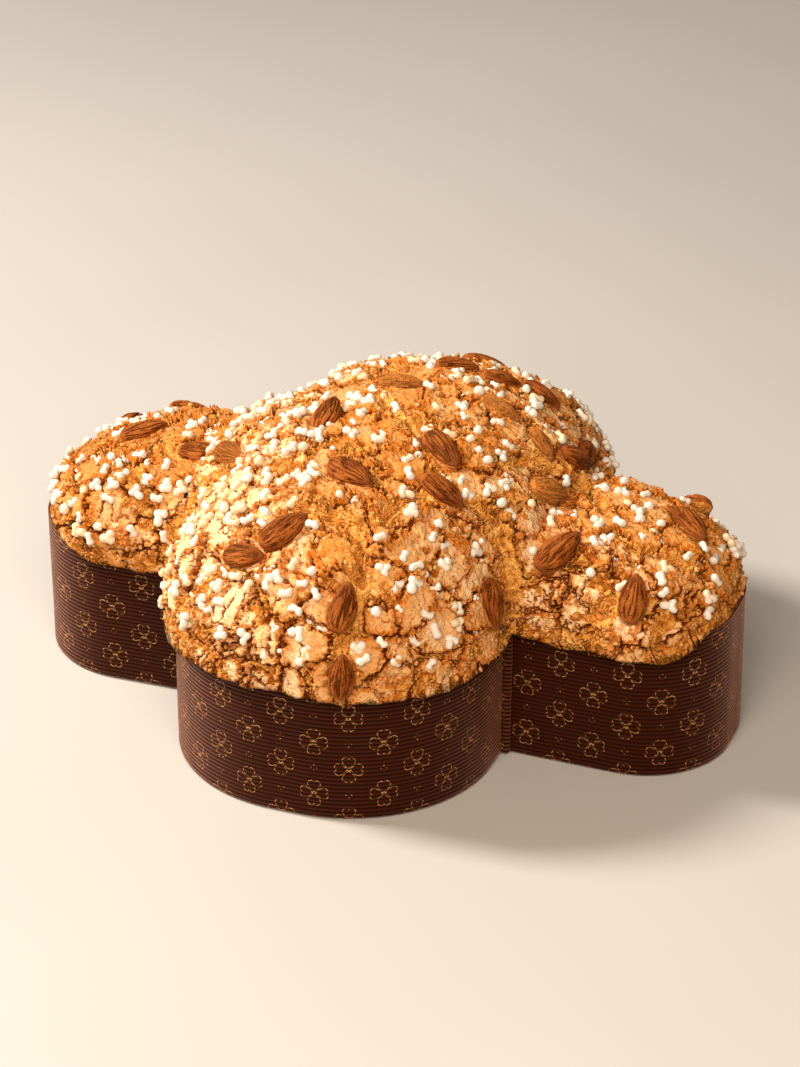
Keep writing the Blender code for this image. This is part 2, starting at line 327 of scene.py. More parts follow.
def lip_height(angle):
    """Height of the crust's lower edge, lowest along the front of the tail."""
    on_tail = smoothstep(np.cos(angle), 0.70, 0.85)
    way = (from_middle(angle) - 104.0 - 18.0 * on_tail) / (26.0 + 4.0 * on_tail)
    hanging = 1.0 - smoothstep(way, 0.0, 1.0)
    hanging = hanging * (0.8 + 0.2 * smoothstep(corner_distance(angle), 1.0, 9.0))
    on_tail_front = smoothstep(np.cos(angle), 0.80, 0.92) * (np.sin(angle) < 0.0)
    droop = DROOP + (TAIL_FRONT_DROOP - DROOP) * on_tail_front
    droop = droop + 1.2 * np.sin(5.0 * angle + 0.8) + 0.5 * np.sin(17.0 * angle)
    droop = droop + 0.45 * np.sin(41.0 * angle + 2.0) * np.sin(3.0 * angle) + 0.4 * np.sin(73.0 * angle + 1.0)
    sunk = 4.0 * smoothstep(-overhang(angle), 0.0, 2.5)
    return WALL_HEIGHT + RIM_CLEARANCE - (droop + RIM_CLEARANCE) * hanging - sunk


def dome_height(x, y):
    """High loaf from wing to wing on lower shoulders: an arch of one minus a square, to a power."""
    lean = np.where(y > 0.0, BACK_WING[0] - 90.0, FRONT_WING[0] + 90.0)
    middle = -np.abs(y) * np.tan(np.radians(lean)) * np.where(y > 0.0, 1.0, -1.0)
    arch = np.clip(1.0 - ((x - middle) / LOAF_HALF_WIDTH) ** 2, 0.0, 1.0) ** LOAF_POWER
    tail_share = 0.5 + 0.5 * np.tanh(x / SHOULDER_BLEND)
    shoulder = SHOULDER_HEAD + (SHOULDER_TAIL - SHOULDER_HEAD) * tail_share
    fall = np.where(y > 0.0, FALL_BACK, FALL_FRONT) * (y / LOAF_LENGTH) ** 2
    return shoulder + (TOP_HEIGHT - fall - shoulder) * arch


def crust_point(angle, share):
    """Point of the smooth crust: the dome's height times an edge curve, upright at the rim."""
    grow = overhang(angle)
    soft, sharp = soft_radius(angle, grow), plan_radius(angle, grow)
    reach = soft + (sharp - soft) * share**LOBE_BLEND
    x, y = share * reach * np.cos(angle), share * reach * np.sin(angle)
    rim = lip_height(angle) + LIP_ROUND
    edge = np.sqrt(np.clip(1.0 - share**EDGE_POWER, 0.0, 1.0))
    z = rim + (dome_height(x, y) - rim) * edge
    return np.stack([x - MIDDLE[0], y - MIDDLE[1], z], axis=-1)


def share_of_way(way):
    """Share of the radius for each share of the path from summit to rim, evenly long."""
    share = np.sin(np.linspace(0.0, math.pi / 2.0, 600))
    height = 58.0 * np.sqrt(1.0 - share**EDGE_POWER)
    path = running_total(np.hypot(108.0 * np.diff(share), np.diff(height)))
    return np.interp(way, path / path[-1], share)


def lobe_angle(quarter, part):
    """Angle of the plan at an even share of the way round one lobe's outline."""
    start = CORNERS[(quarter + 1) % 4]
    end = CORNERS[(quarter + 2) % 4]
    end = end + 2.0 * math.pi * (end < start)
    fine = np.linspace(start, end, FINE_ANGLES)
    length = running_total(outline_steps(fine))
    return np.interp(part, length / length[-1], fine)


def square_to_dome(cells):
    """Angle and share at each point of a square grid laid over the dome.

    The square's rings become circles: the larger coordinate is the way out
    from the summit, and the other one, over it, is the way round.  The four
    quarters of the square are the four lobes, so the mesh has no pole.
    """
    line = np.linspace(-1.0, 1.0, 2 * cells + 1)
    a, b = np.meshgrid(line, line, indexing="ij")
    wide = np.abs(a) > np.abs(b)
    way = np.where(wide, np.abs(a), np.abs(b))
    safe_a, safe_b = np.where(wide, a, 1.0), np.where(b == 0.0, 1.0, b)
    turn = np.where(wide, math.pi / 4.0 * b / safe_a + math.pi * (a < 0.0),
                    math.pi / 2.0 - math.pi / 4.0 * np.where(wide, 0.0, a) / safe_b + math.pi * (b < 0.0))
    turn = turn % (2.0 * math.pi)
    quarter = np.minimum((turn / (math.pi / 2.0)).astype(int), 3)
    part = turn / (math.pi / 2.0) - quarter
    angle = np.zeros_like(turn)
    for number in range(4):
        here = quarter == number
        angle[here] = lobe_angle(number, part[here])
    return angle, share_of_way(way)


def neighbourhood_mean(values, reach):
    """Mean over a square window of the grid, from running sums along each axis."""
    for axis in (0, 1):
        padded = np.pad(values, [(reach + 1, reach) if axis == k else (0, 0) for k in (0, 1)], mode="edge")
        total = np.cumsum(padded, axis=axis)
        wide = 2 * reach + 1
        values = (np.take(total, range(wide, total.shape[axis]), axis)
                  - np.take(total, range(total.shape[axis] - wide), axis)) / wide
    return values


def evened(values, points):
    """Values over their slope along the surface, so that a line drawn from them has an even width.

    The slope is the root of the two squared steps between neighbours, each over the step's length.
    """
    slope = np.zeros_like(values)
    for axis in (0, 1):
        length = np.linalg.norm(np.gradient(points, axis=axis), axis=-1)
        slope += (np.gradient(values, axis=axis) / np.maximum(length, 0.05)) ** 2
    slope = neighbourhood_mean(np.sqrt(slope), 2)
    return values / np.clip(slope, 0.2, 1.0)


def grid_normals(points):
    """Outward normals of a grid of points, from the cross product of its two slopes."""
    normal = np.cross(np.gradient(points, axis=0), np.gradient(points, axis=1))
    normal /= np.maximum(np.linalg.norm(normal, axis=-1, keepdims=True), 1e-9)
    return normal * np.sign(normal[normal.shape[0] // 2, normal.shape[1] // 2, 2])


def split_openness(points):
    """How open the crust is torn at each point, how deep, how near a tear is, and its seam, a narrow crevice
    also painted dark as shade.

    Each line of the plan is lifted on to the dome and measured in space, so a
    tear is as wide on a steep flank as on the top.  Noise makes it ragged and
    closes it here and there.
    """
    wander = np.stack([rough_noise(points, 7.0, 40 + 5 * k, 3) for k in range(3)], -1) * 2.9
    breadth = np.clip(1.05 + 1.3 * soft_noise(points, 7.0, 39), 0.0, None)
    broken = smoothstep(soft_noise(points, 6.0, 37), -0.35, 0.0)
    openness, near, depth, seam = (np.zeros(points.shape[:-1]) for _ in range(4))
    for width, deep, line in SPLITS:
        line = np.array(line, float)
        along = running_total(np.linalg.norm(np.diff(line, axis=0), axis=1))
        even = np.arange(0.0, along[-1] + SPLIT_STEP, SPLIT_STEP)
        spots = np.stack([np.interp(even, along, line[:, axis]) for axis in (0, 1)], -1)
        close = ((points[..., :2] > line.min(0) - 14.0) & (points[..., :2] < line.max(0) + 14.0)).all(-1)
        flat, bent = points[close], (points + wander)[close]
        away = np.full(len(flat), 99.0)
        for spot in spots:
            lifted = flat[((flat[:, :2] - spot) ** 2).sum(1).argmin()]
            away = np.minimum(away, np.linalg.norm(bent - lifted, axis=1))
        half = width * 0.36 * breadth[close]
        this = 1.0 - smoothstep(away, half, half + 1.1)
        openness[close] = np.maximum(openness[close], this)
        depth[close] = np.maximum(depth[close], deep * (1.0 - smoothstep(away, half * 0.2, half + 1.3)))
        near[close] = np.maximum(near[close], 1.0 - smoothstep(away, half + 0.8, half + 4.5))
        # The seam is cut in and painted dark as shade
        dark = (1.0 - smoothstep(away, 0.25, 0.9)) * broken[close] * (breadth[close] > 0.1)
        seam[close] = np.maximum(seam[close], dark)
    return openness, depth, near, seam


def almond_seats():
    """Place of each almond, read from its solid.

    The directions are the axes of spread of its points: the longest is its
    length and the shortest its thickness, turned to face away from the cake.
    The pointed end is the one where the points lie closer to the axis.
    """
    seats = {}
    for name, node in sorted(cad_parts.items()):
        if not name.startswith("almond"):
            continue
        points = np.array([vertex.co for vertex in node.data.vertices], float) / MM
        points = np.unique(points.round(4), axis=0)
        middle = points.mean(0)
        turn = np.linalg.eigh(np.cov((points - middle).T))[1]
        along, up = turn[:, 2], turn[:, 0]
        away = (points - middle) @ along
        off_axis = np.linalg.norm(points - middle - away[:, None] * along, axis=1)
        along = along * (-1.0 if (away * off_axis).sum() > 0.0 else 1.0)
        outwards = middle - np.array([0.0, 0.0, CRUST_FOOT])
        up = up * (1.0 if up @ outwards > 0.0 else -1.0)
        turn = np.stack([along, np.cross(up, along), up], axis=1)
        local = (points - middle) @ turn
        centre = middle + turn @ (local.max(0) + local.min(0)) / 2.0
        seats[name] = (centre, turn, np.ptp(local, axis=0))
    return seats


def almond_footprint(points):
    """How near each crust point is to an almond: 1 at the edge of the nearest one's outline."""
    nearest = np.full(points.shape[:-1], 9.0)
    for centre, turn, size in ALMOND_SEATS.values():
        local = (points - centre) @ turn
        outline = np.hypot(local[..., 0] / size[0], local[..., 1] / size[1]) * 2.0
        far = np.abs(local[..., 2]) > size[0] * 0.6
        nearest = np.minimum(nearest, np.where(far, 9.0, outline))
    return nearest


ALMOND_SEATS = almond_seats()


def inside_box(points, margin):
    """Move points that stand too near the sides of the solids' box inwards, to the margin."""
    low, high = (np.array(corner) / MM for corner in CAD_BOX)
    margin = np.asarray(margin)[..., None]
    return np.clip(points, low + margin, high - margin)


@functools.cache
def crust_surface():
    """The crust with its relief: points, normals and colour fields on one square grid.

    The relief is a sum along the normal: slow lumps, glaze plates that stand
    above the dough, cracks along the borders of two sizes of scattered cells,
    nodules where the glaze is thin, and torn splits down to the crumb.
    """
    cells = CRUST_CELLS
    angle, share = square_to_dome(cells)
    smooth = crust_point(angle, share)
    normal = grid_normals(smooth)
    waves = functools.partial(soft_noise, smooth)
    wander = np.stack([2.2 * waves(11.0, 3 + k) + waves(3.4, 7 + k)
                       + 0.9 * waves(1.6, 13 + k) for k in range(3)], -1)
    openness, depth, near, seam = split_openness(smooth)
    whole = 1.0 - openness
    first, second, owner = scattered_cells(smooth + 1.4 * wander, PLATE_SIZE, 21)
    lit_flank = smoothstep(-(normal @ CAMERA_RIGHT), 0.05, 0.5)
    gape = smoothstep(waves(17.0, 24), 0.18, 0.45)
    opening = 0.25 + 0.6 * smoothstep(waves(30.0, 22), -0.25, 0.4)
    opening = opening + (1.3 - 0.4 * lit_flank) * gape
    to_plate_edge = evened((second - first) / 2.0, smooth) - opening
    cracked = smoothstep(waves(13.0, 23) + opening, -0.1, 0.25)
    gap_floor = smoothstep(-to_plate_edge, 0.3, 0.8) * cracked * whole
    plate_gap = (1.0 - smoothstep(to_plate_edge, 0.0, 0.45)) * cracked * whole
    stretched = smooth * np.array([1.0, 1.0, 0.65])
    first_flake, second_flake, flake = scattered_cells(stretched + 0.9 * wander, FLAKE_SIZE, 31)
    flaky = np.clip(smoothstep(waves(26.0, 32), -0.25, 0.2) * 0.8 + lit_flank, 0.0, 1.0)
    apart = smoothstep(waves(9.0, 33), -0.2, 0.3)
    to_flake_edge = evened((second_flake - first_flake) / 2.0, smooth) - 0.55 * apart * lit_flank
    flake_gap = (1.0 - smoothstep(to_flake_edge, 0.0, 0.5)) * flaky * whole * apart
    first_bead, second_bead, bead_number = scattered_cells(smooth + 0.35 * wander, BEAD_SIZE, 45)
    bead = (0.25 + (bead_number % np.uint32(83)) / 110.0) * smoothstep(second_bead - first_bead, 0.02, 0.55)
    first_nodule, _second, nodule = scattered_cells(smooth + 0.45 * wander, NODULE_SIZE, 41)
    lump = np.clip(1.0 - first_nodule / (NODULE_SIZE * 0.62), 0.0, 1.0) ** (0.7 - 0.25 * near)
    lump *= (0.5 + (nodule % np.uint32(89)) / 89.0) * (1.0 + 0.7 * near)
    thin = smoothstep(waves(15.0, 42) + 0.5 * waves(5.0, 43), 0.24, 0.38)
    low_band = smoothstep(share, 0.985, 0.998) * smoothstep(waves(16.0, 47), -0.3, 0.2)
    rough = np.clip(thin + near + 0.8 * low_band, 0.0, 1.0) * whole
    glaze = (1.0 - rough) * whole
    ragged = np.maximum(2.4 + 2.6 * waves(8.0, 44) + 1.2 * waves(2.2, 46), 0.3)
    edge = (1.0 - smoothstep(to_plate_edge, ragged * 0.4, ragged)) * whole
    plate_tone, flake_tone = (owner % np.uint32(997)) / 997.0, (flake % np.uint32(991)) / 991.0
    height = 1.5 * waves(40.0, 61) + 0.9 * waves(14.0, 62)
    height += (0.5 + 0.6 * rough) * waves(5.5, 63) + 0.5 * waves(3.1, 66)
    height += glaze * (0.55 + 1.7 * (plate_tone - 0.5) + 0.9 * flaky * (flake_tone - 0.5))
    height += edge * glaze * (1.25 * bead + 0.1) + rough * (1.2 * lump + 0.35 * bead - 0.75)
    height -= 2.6 * plate_gap + 1.4 * flake_gap + depth + 1.6 * seam - gap_floor * (0.3 + 0.7 * bead)
    height += openness * (1.2 * waves(4.0, 64) + 0.4 * waves(1.9, 65))
    grain = 0.65 * waves(2.1, 51) + 0.26 * waves(GRAIN_SIZE, 52)
    height += grain * (0.55 + 0.9 * rough) - 0.5
    footprint = almond_footprint(smooth)
    under = 1.0 - smoothstep(footprint, 1.0, 1.4)
    height += (-0.9 - height) * under - 0.8 * (1.0 - smoothstep(np.abs(footprint - 1.03), 0.0, 0.14))
    height -= 0.9 * smoothstep(share, 0.97, 1.0)
    crease = (1.0 - smoothstep(corner_distance(angle), 1.0, 8.0)) * smoothstep(share, 0.55, 0.8)
    height -= height * 0.85 * crease
    points = smooth + normal * height[..., None]
    points = inside_box(points, BOX_MARGIN)
    # Height against its surroundings: the material paints raised crests lighter as painted highlight and sunk
    # hollows darker as painted shade
    swing = height - neighbourhood_mean(height, max(cells // 50, 1))
    # Painted shade: darker between the nodules and round the edge of each almond, where shade falls
    hollow_shade = np.clip(0.15 * rough * (1.0 - lump) + 0.5 * (1.0 - smoothstep(footprint, 0.95, 1.2)), 0.0, 1.0)
    # Painted light in the tone, where higher means deeper glaze: paler on the flank towards the key light, on
    # the front of the tail and on the right side of the middle, and darker on the tail's right side as
    # painted shade. The plates' own tones vary at random, and the head end and up-facing tops away from the
    # lit flank are darker.
    head_end, tail_end = smoothstep(-smooth[..., 0], 60.0, 105.0), smoothstep(smooth[..., 0], 60.0, 105.0)
    top, side = smoothstep(normal[..., 2], 0.75, 0.97), smoothstep(normal @ CAMERA_RIGHT, 0.2, 0.7)
    browning_and_painted_light = 0.45 * head_end + 0.45 * tail_end * side - 0.30 * tail_end * (1.0 - side) * (1.0 - top)
    browning_and_painted_light -= 0.25 * side * (1.0 - head_end - tail_end)
    tone = (0.50 + browning_and_painted_light + 0.33 * plate_tone + 0.3 * flake_tone
            - 0.8 * lit_flank * (1.0 - 0.6 * (head_end + tail_end)) + 0.15 * top * (1.0 - lit_flank))
    fields = {
        "glaze": glaze,
        "crumb": np.maximum(openness, 0.8 * gap_floor),
        "crest": np.clip(rough * (lump + 0.3 * bead), 0.0, 1.0),
        # Painted shade deep in the tears and along their seams
        "deep": np.clip(0.6 * openness * smoothstep(depth, 3.5, 6.5) + seam, 0.0, 1.0),
        # Painted shade on the walls of the plate and flake gaps, between nodules and round the almonds
        "cavity_shade": np.clip(0.6 * plate_gap * (1.0 - gap_floor) + 0.3 * flake_gap + hollow_shade, 0.0, 1.0),
        "plate_line": np.clip(to_plate_edge + 2.5 * (1.0 - cracked * whole) + 2.0 * gap_floor, -1.0, 4.0),
        "flake_line": np.clip(to_flake_edge + 2.5 * (1.0 - flaky * whole), -1.0, 4.0),
        "swing": np.clip(swing / 1.3, -1.0, 1.0),
        "edge": np.clip(edge + 0.3 * flake_gap, 0.0, 1.0),
        # Tone above one paints the up-facing top of the head darker, as painted shade where the key light
        # falls strongest
        "tone": np.clip(tone, 0.0, 1.0) + 0.4 * head_end * smoothstep(normal[..., 2], 0.6, 0.9),
    }
    cavity_shade = fields["cavity_shade"]
    return {
        "angle": angle,
        "share": share,
        "points": points,
        "smooth_normal": normal,
        "fields": fields,
        "cover": glaze * (1.0 - 0.7 * cavity_shade) * (footprint > 1.3),
        "rough": rough * (footprint > 1.2),
    }


def add_piece(name, points, faces, material, stands_for=(), fields=None, uv=None, wrap=0.0,
              sharp_rows=None):
    """Put one closed surface in the scene, from points in millimetres and arrays of faces."""
    faces = [np.asarray(group, np.int32) for group in faces if len(group)]
    triangles = np.concatenate([
        group[:, [0, k, k + 1]] for group in faces for k in range(1, group.shape[1] - 1)])
    corners = points[triangles]
    volume = (np.cross(corners[:, 0], corners[:, 1]) * corners[:, 2]).sum()
    if volume < 0.0:
        faces = [group[:, ::-1] for group in faces]
    mesh = bpy.data.meshes.new(name)
    mesh.vertices.add(len(points))
    mesh.vertices.foreach_set("co", (points * MM).astype(np.float32).ravel())
    sizes = np.concatenate([np.full(len(group), group.shape[1], np.int32) for group in faces])
    order = np.concatenate([group.ravel() for group in faces])
    mesh.loops.add(len(order))
    mesh.loops.foreach_set("vertex_index", order)
    mesh.polygons.add(len(sizes))
    mesh.polygons.foreach_set("loop_start", np.concatenate(([0], np.cumsum(sizes)[:-1])).astype(np.int32))
    mesh.polygons.foreach_set("use_smooth", np.ones(len(sizes), bool))
    mesh.update(calc_edges=True)
    for label, values in (fields or {}).items():
        layer = mesh.attributes.new(label, "FLOAT", "POINT")
        layer.data.foreach_set("value", np.asarray(values, np.float32).ravel())
    if uv is not None:
        layer = mesh.uv_layers.new(name="surface")
        places = [uv[group] for group in faces]
        for place in places:
            place[..., 0] += wrap * (place[..., 0].max(1, keepdims=True) - place[..., 0] > wrap / 2.0)
        flat = np.concatenate([place.reshape(-1, 2) for place in places])
        layer.data.foreach_set("uv", flat.astype(np.float32).ravel())
    if sharp_rows is not None:
        ends = np.zeros(len(mesh.edges) * 2, np.int32)
        mesh.edges.foreach_get("vertices", ends)
        on_line = np.zeros(len(points), bool)
        on_line[sharp_rows] = True
        layer = mesh.attributes.new("sharp_edge", "BOOLEAN", "EDGE")
        layer.data.foreach_set("value", on_line[ends.reshape(-1, 2)].all(1))
    if mesh.validate():
        raise RuntimeError(f"{name} has faces that do not hold together")
    mesh.materials.append(material)
    item = bpy.data.objects.new(name, mesh)
    bpy.context.scene.collection.objects.link(item)
    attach(item, "root")
    if stands_for:
        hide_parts(*stands_for)
    return item


def grid_faces(rows, columns, closed_round=False):
    """Quads between neighbouring rows and columns of a grid of points."""
    row, column = np.meshgrid(np.arange(rows - 1), np.arange(columns - (not closed_round)), indexing="ij")
    following = (column + 1) % columns
    low, high = row * columns, (row + 1) * columns
    return np.stack([low + column, low + following, high + following, high + column], -1).reshape(-1, 4)


def fan_faces(start, count, tip):
    """Triangles from a ring of points, numbered from start, to one tip."""
    ring = np.arange(count)
    return np.stack([start + ring, start + (ring + 1) % count, np.full(count, tip)], -1)


def make_crust_lobe(quarter, material):
    """One lobe of the cake: its quarter of the crust, closed below by a skirt and a floor.

    The skirt runs down from the quarter's edge in four rings.  Where the
    crust hangs over the rim they turn in under it, then down inside the case.
    """
    surface = crust_surface()
    middle = surface["share"].shape[0] // 2
    rows = slice(middle, None) if quarter in (0, 3) else slice(middle, None, -1)
    columns = slice(middle, None) if quarter in (0, 1) else slice(middle, None, -1)
    points = surface["points"][rows, columns]
    angle, share = surface["angle"][rows, columns], surface["share"][rows, columns]
    side = points.shape[0]
    index = np.arange(side * side).reshape(side, side)
    loop = np.concatenate([index[:-1, 0], index[-1, :-1], index[:0:-1, -1], index[0, :0:-1]])
    around = angle.ravel()[loop]
    out = share.ravel()[loop]
    over = overhang(around)
    edge = points.reshape(-1, 3)[loop]
    hangs = smoothstep(over, -0.5, 1.0)
    above = WALL_HEIGHT + RIM_CLEARANCE
    lip = lip_height(around)
    tucked = lip - 4.0 + (above - lip + 4.0) * hangs
    rings = (
        (over - 0.7, lip - 0.2),
        (np.minimum(over - 1.0, 0.4), tucked),
        (np.minimum(over - 1.4, -1.2), tucked),
        (np.minimum(over - 1.4, -1.2), np.full_like(lip, CRUST_FOOT)),
    )
    at_rim = plan_radius(around, over)
    levels = [points.reshape(-1, 3)]
    for grow, height in rings:
        scale = plan_radius(around, grow) / at_rim
        base = np.stack([at_rim * out * np.cos(around), at_rim * out * np.sin(around)], -1) - MIDDLE
        inner = np.where((out > 0.999)[:, None], base, edge[:, :2])
        flat = (inner + MIDDLE) * scale[:, None] - MIDDLE
        levels.append(np.concatenate([flat, height[:, None]], axis=1))
    count = len(loop)
    foot = levels[-1].mean(0)
    everything = np.concatenate(levels + [foot[None]])
    start = side * side
    ring = start + np.arange(count)
    first_ring = np.stack([loop, np.roll(loop, -1), np.roll(ring, -1), ring], -1)
    skirt = grid_faces(len(rings), count, closed_round=True) + start
    last = start + (len(rings) - 1) * count
    faces = [np.concatenate([grid_faces(side, side), first_ring, skirt]),
             fan_faces(last, count, len(everything) - 1)]
    fields = {}
    for label, values in surface["fields"].items():
        top = values[rows, columns].ravel()
        tail = np.concatenate([np.tile(top[loop], len(rings)), [0.0]])
        fields[label] = np.concatenate([top, tail])
    seam = np.concatenate([index[:, 0], index[0, :]])
    name = "crust_" + LOBE_NAMES[quarter]
    return add_piece(name, everything, faces, material, ("cake",), fields, sharp_rows=seam)


# Paper case
RIB_PITCH = 1.8
RIB_DEPTH = 0.55
ROW_STEP = 0.3
CASE_COLUMNS = 440
FOOT_ROUND = 2.0
FLOOR_THICKNESS = 0.6
PLEAT_HALF_WIDTH = 1.3
PLEAT_DEPTH = 3.2
INSIDE_MAP = 0.1
COLUMN_SPACING = 13.88
HALF_REPEAT = 11.55
FIRST_BLOSSOM = 219.5
PETAL_MIDDLE = 3.3
PETAL_HALF_LENGTH = 2.45
EYE_RADIUS = 0.6
DOT_FROM_MIDDLE = 1.15

# Rings over the rim: outwards, below the rim, and share of the fold
RIM_RINGS = ((-0.30, 0.45, 0.9), (-0.35, 0.3, 0.9), (-0.85, 0.3, 0.78), (-0.95, 0.6, 0.78))


def case_columns():
    """Angles round the case, closer together at the folds, and the arc length at each."""
    fine = np.linspace(-math.pi, math.pi, 4 * FINE_ANGLES + 1)
    step = outline_steps(fine)
    arc = running_total(step)
    crowd = 1.0 + 3.0 * (corner_distance((fine[1:] + fine[:-1]) / 2.0) < PLEAT_HALF_WIDTH + 2.0)
    spent = running_total(step * crowd)
    even = np.linspace(0.0, spent[-1], CASE_COLUMNS, endpoint=False)
    return np.interp(even, spent, fine), np.interp(even, spent, arc), arc[-1]


def case_ring(angle, grow, height, bulge=1.0):
    """Ring of the case: the plan's edge moved out by grow, plus a round fold at each corner.

    The fold is a half circle across the corner, 1 - x^2 under a root.
    """
    radius = plan_radius(angle, grow)
    nearest = corner_turns(angle).argmin(axis=1)
    aside = corner_distance(angle) / PLEAT_HALF_WIDTH
    fold = PLEAT_DEPTH * np.sqrt(np.clip(1.0 - aside**2, 0.0, 1.0)) * bulge
    x = radius * np.cos(angle) + fold * np.cos(CORNERS[nearest]) - MIDDLE[0]
    y = radius * np.sin(angle) + fold * np.sin(CORNERS[nearest]) - MIDDLE[1]
    return points_of(x, y, height)


def make_paper_case(material):
    """The case: a wall of round ribs on a rounded foot, a thin rim, and the smooth inside.

    Across each rib the wall stands out by the root of one minus a square, so
    the grooves between them are narrow.
    """
    angle, arc, around = case_columns()
    heights = np.concatenate(([0.0, 0.25, 0.6, 1.1], np.arange(1.6, WALL_HEIGHT - 0.5, ROW_STEP)))
    across = (heights % RIB_PITCH) / RIB_PITCH * 2.0 - 1.0
    ridge = np.sqrt(np.clip(1.0 - 0.97 * across**2, 0.0, 1.0))
    sunk = np.clip(FOOT_ROUND - heights, 0.0, None)
    foot = FOOT_ROUND - np.sqrt(np.clip(FOOT_ROUND**2 - sunk**2, 0.0, None))
    slack = np.array([0.18 * np.sin(3.0 * angle + 1.0 + 0.05 * level) for level in heights]) - 0.2
    levels = []
    for row, level in enumerate(heights):
        grow = slack[row] - RIB_DEPTH * (1.0 - ridge[row]) - foot[row]
        levels.append(case_ring(angle, grow, level, 0.5 + 0.5 * ridge[row]))
    rim = WALL_HEIGHT + 0.25 * np.sin(7.0 * angle) + 0.15 * np.sin(23.0 * angle + 1.0)
    levels += [case_ring(angle, grow, rim - below, bulge) for grow, below, bulge in RIM_RINGS]
    levels.append(case_ring(angle, -1.05, FLOOR_THICKNESS, 0.78))
    outside_rows = len(levels) - 3
    rows = len(levels)
    points = np.concatenate([np.concatenate(levels), [[-MIDDLE[0], -MIDDLE[1], 0.0]],
                             [[-MIDDLE[0], -MIDDLE[1], FLOOR_THICKNESS]]])
    wall = grid_faces(rows, CASE_COLUMNS, closed_round=True)
    under = fan_faces(0, CASE_COLUMNS, rows * CASE_COLUMNS)[:, [1, 0, 2]]
    floor = fan_faces((rows - 1) * CASE_COLUMNS, CASE_COLUMNS, rows * CASE_COLUMNS + 1)
    height = np.minimum(points[:, 2], WALL_HEIGHT)
    row_of = np.arange(len(points)) // CASE_COLUMNS
    inside = row_of >= outside_rows
    place = np.stack([np.concatenate([np.tile(arc, rows), [0.0, 0.0]]),
                      height + inside * INSIDE_MAP / MM], -1) * MM
    fold = 1.0 - smoothstep(corner_distance(angle), 1.1, 1.9)
    fields = {"fold": np.concatenate([np.tile(fold, rows), [0.0, 0.0]])}
    return add_piece("ribbed_paper_case", points, [wall, np.concatenate([under, floor])], material,
                     ("paper_case",), fields, place, around * MM, np.nonzero(row_of == rows - 2)[0])


def sphere_faces(rings, sides):
    """Faces of a closed lump: quads between rings of points, and a fan at each pole."""
    first = fan_faces(0, sides, rings * sides)[:, [2, 1, 0]]
    end = fan_faces((rings - 1) * sides, sides, rings * sides + 1)
    return grid_faces(rings, sides, closed_round=True), np.concatenate([first, end])


def make_almond(number, node, material):
    """One whole almond: an egg drawn to a point, with grooves that run from end to end.

    Width along the length u is u^0.5 (1-u)^0.72, scaled to the solid's.  The
    grooves are the zero lines of noise stretched nine times along the length.
    """
    centre, turn, size = ALMOND_SEATS[node]
    rings, sides = ALMOND_MESH
    share = (1.0 - np.cos(np.linspace(0.0, math.pi, rings + 2))) / 2.0
    taper = (share**0.5 * (1.0 - share) ** 0.72)[1:-1, None]
    taper = taper / taper.max()
    around = round_angles(sides)
    across, up = np.cos(around), np.sin(around)
    way = share[1:-1, None]
    lane = points_of(way * size[0] / 15.0 + 7.0 * number,
                     across * 3.1 + 0.12 * np.sin(7.0 * way + number), up * 3.1)
    vein = soft_noise(lane, 1.0, 70)
    fine_vein = soft_noise(lane * np.array([1.6, 2.1, 2.1]), 1.0, 71)
    to_groove = np.minimum(np.abs(vein), np.abs(fine_vein) * 1.3 + 0.05)
    groove = 1.0 - smoothstep(to_groove, 0.0, 0.19)
    ends = smoothstep(way, 0.02, 0.12) * smoothstep(1.0 - way, 0.02, 0.14)
    swell = 1.0 - 0.17 * groove * ends + 0.06 * vein + 0.02 * fine_vein
    half = size[1:] / 2.0
    local = points_of((way - 0.5) * size[0], half[0] * taper * across * swell,
                      half[1] * taper**0.85 * up * swell)
    rim_of_glaze = np.clip(-up + 0.5 * soft_noise(local + 31.0 * number, 5.0, 72) - 0.15, 0.0, 1.0)
    coat = np.maximum(smoothstep(rim_of_glaze, 0.1, 0.3), GLAZED_ALMONDS.get(number, 0.0))
    lumps = soft_noise(local + 17.0 * number, 2.2, 73) + 0.5 * soft_noise(local + 17.0 * number, 1.1, 74)
    outward = unit(local * np.array([0.3, 1.0, 1.0]))
    local = local + outward * (coat * (0.25 + 0.45 * lumps))[..., None]
    ends_of = np.array([[-size[0] / 2.0, 0.0, 0.0], [size[0] / 2.0, 0.0, 0.0]])
    everything = np.concatenate([local.reshape(-1, 3), ends_of]) @ turn.T + centre
    fields = {
        "groove": np.concatenate([(to_groove + 0.2 * (1.0 - ends)).ravel(), [0.3, 0.3]]),
        "coat": np.concatenate([coat.ravel(), [coat[0].mean(), coat[-1].mean()]]),
        "along": np.concatenate([np.broadcast_to(way, coat.shape).ravel(), [0.0, 1.0]]),
    }
    faces = sphere_faces(rings, sides)
    return add_piece(f"whole_{node}", everything, faces, material, (node,), fields)


def scattered_points(generator, chance, count):
    """Places on the crust picked at random, by area and by the given chance at each point."""
    surface = crust_surface()
    slopes = np.gradient(surface["points"], axis=0), np.gradient(surface["points"], axis=1)
    area = np.linalg.norm(np.cross(*slopes), axis=-1)
    share = (chance * area).ravel()
    return generator.choice(share.size, count, replace=False, p=share / share.sum())


def upright_frames(normal, heading):
    """Right-angled frames that stand on each normal, turned by the heading."""
    aside = unit(np.cross(normal, np.array([0.13, 0.37, 0.92])))
    other = np.cross(normal, aside)
    along = aside * np.cos(heading)[:, None] + other * np.sin(heading)[:, None]
    return np.stack([along, np.cross(normal, along), normal], axis=-1)


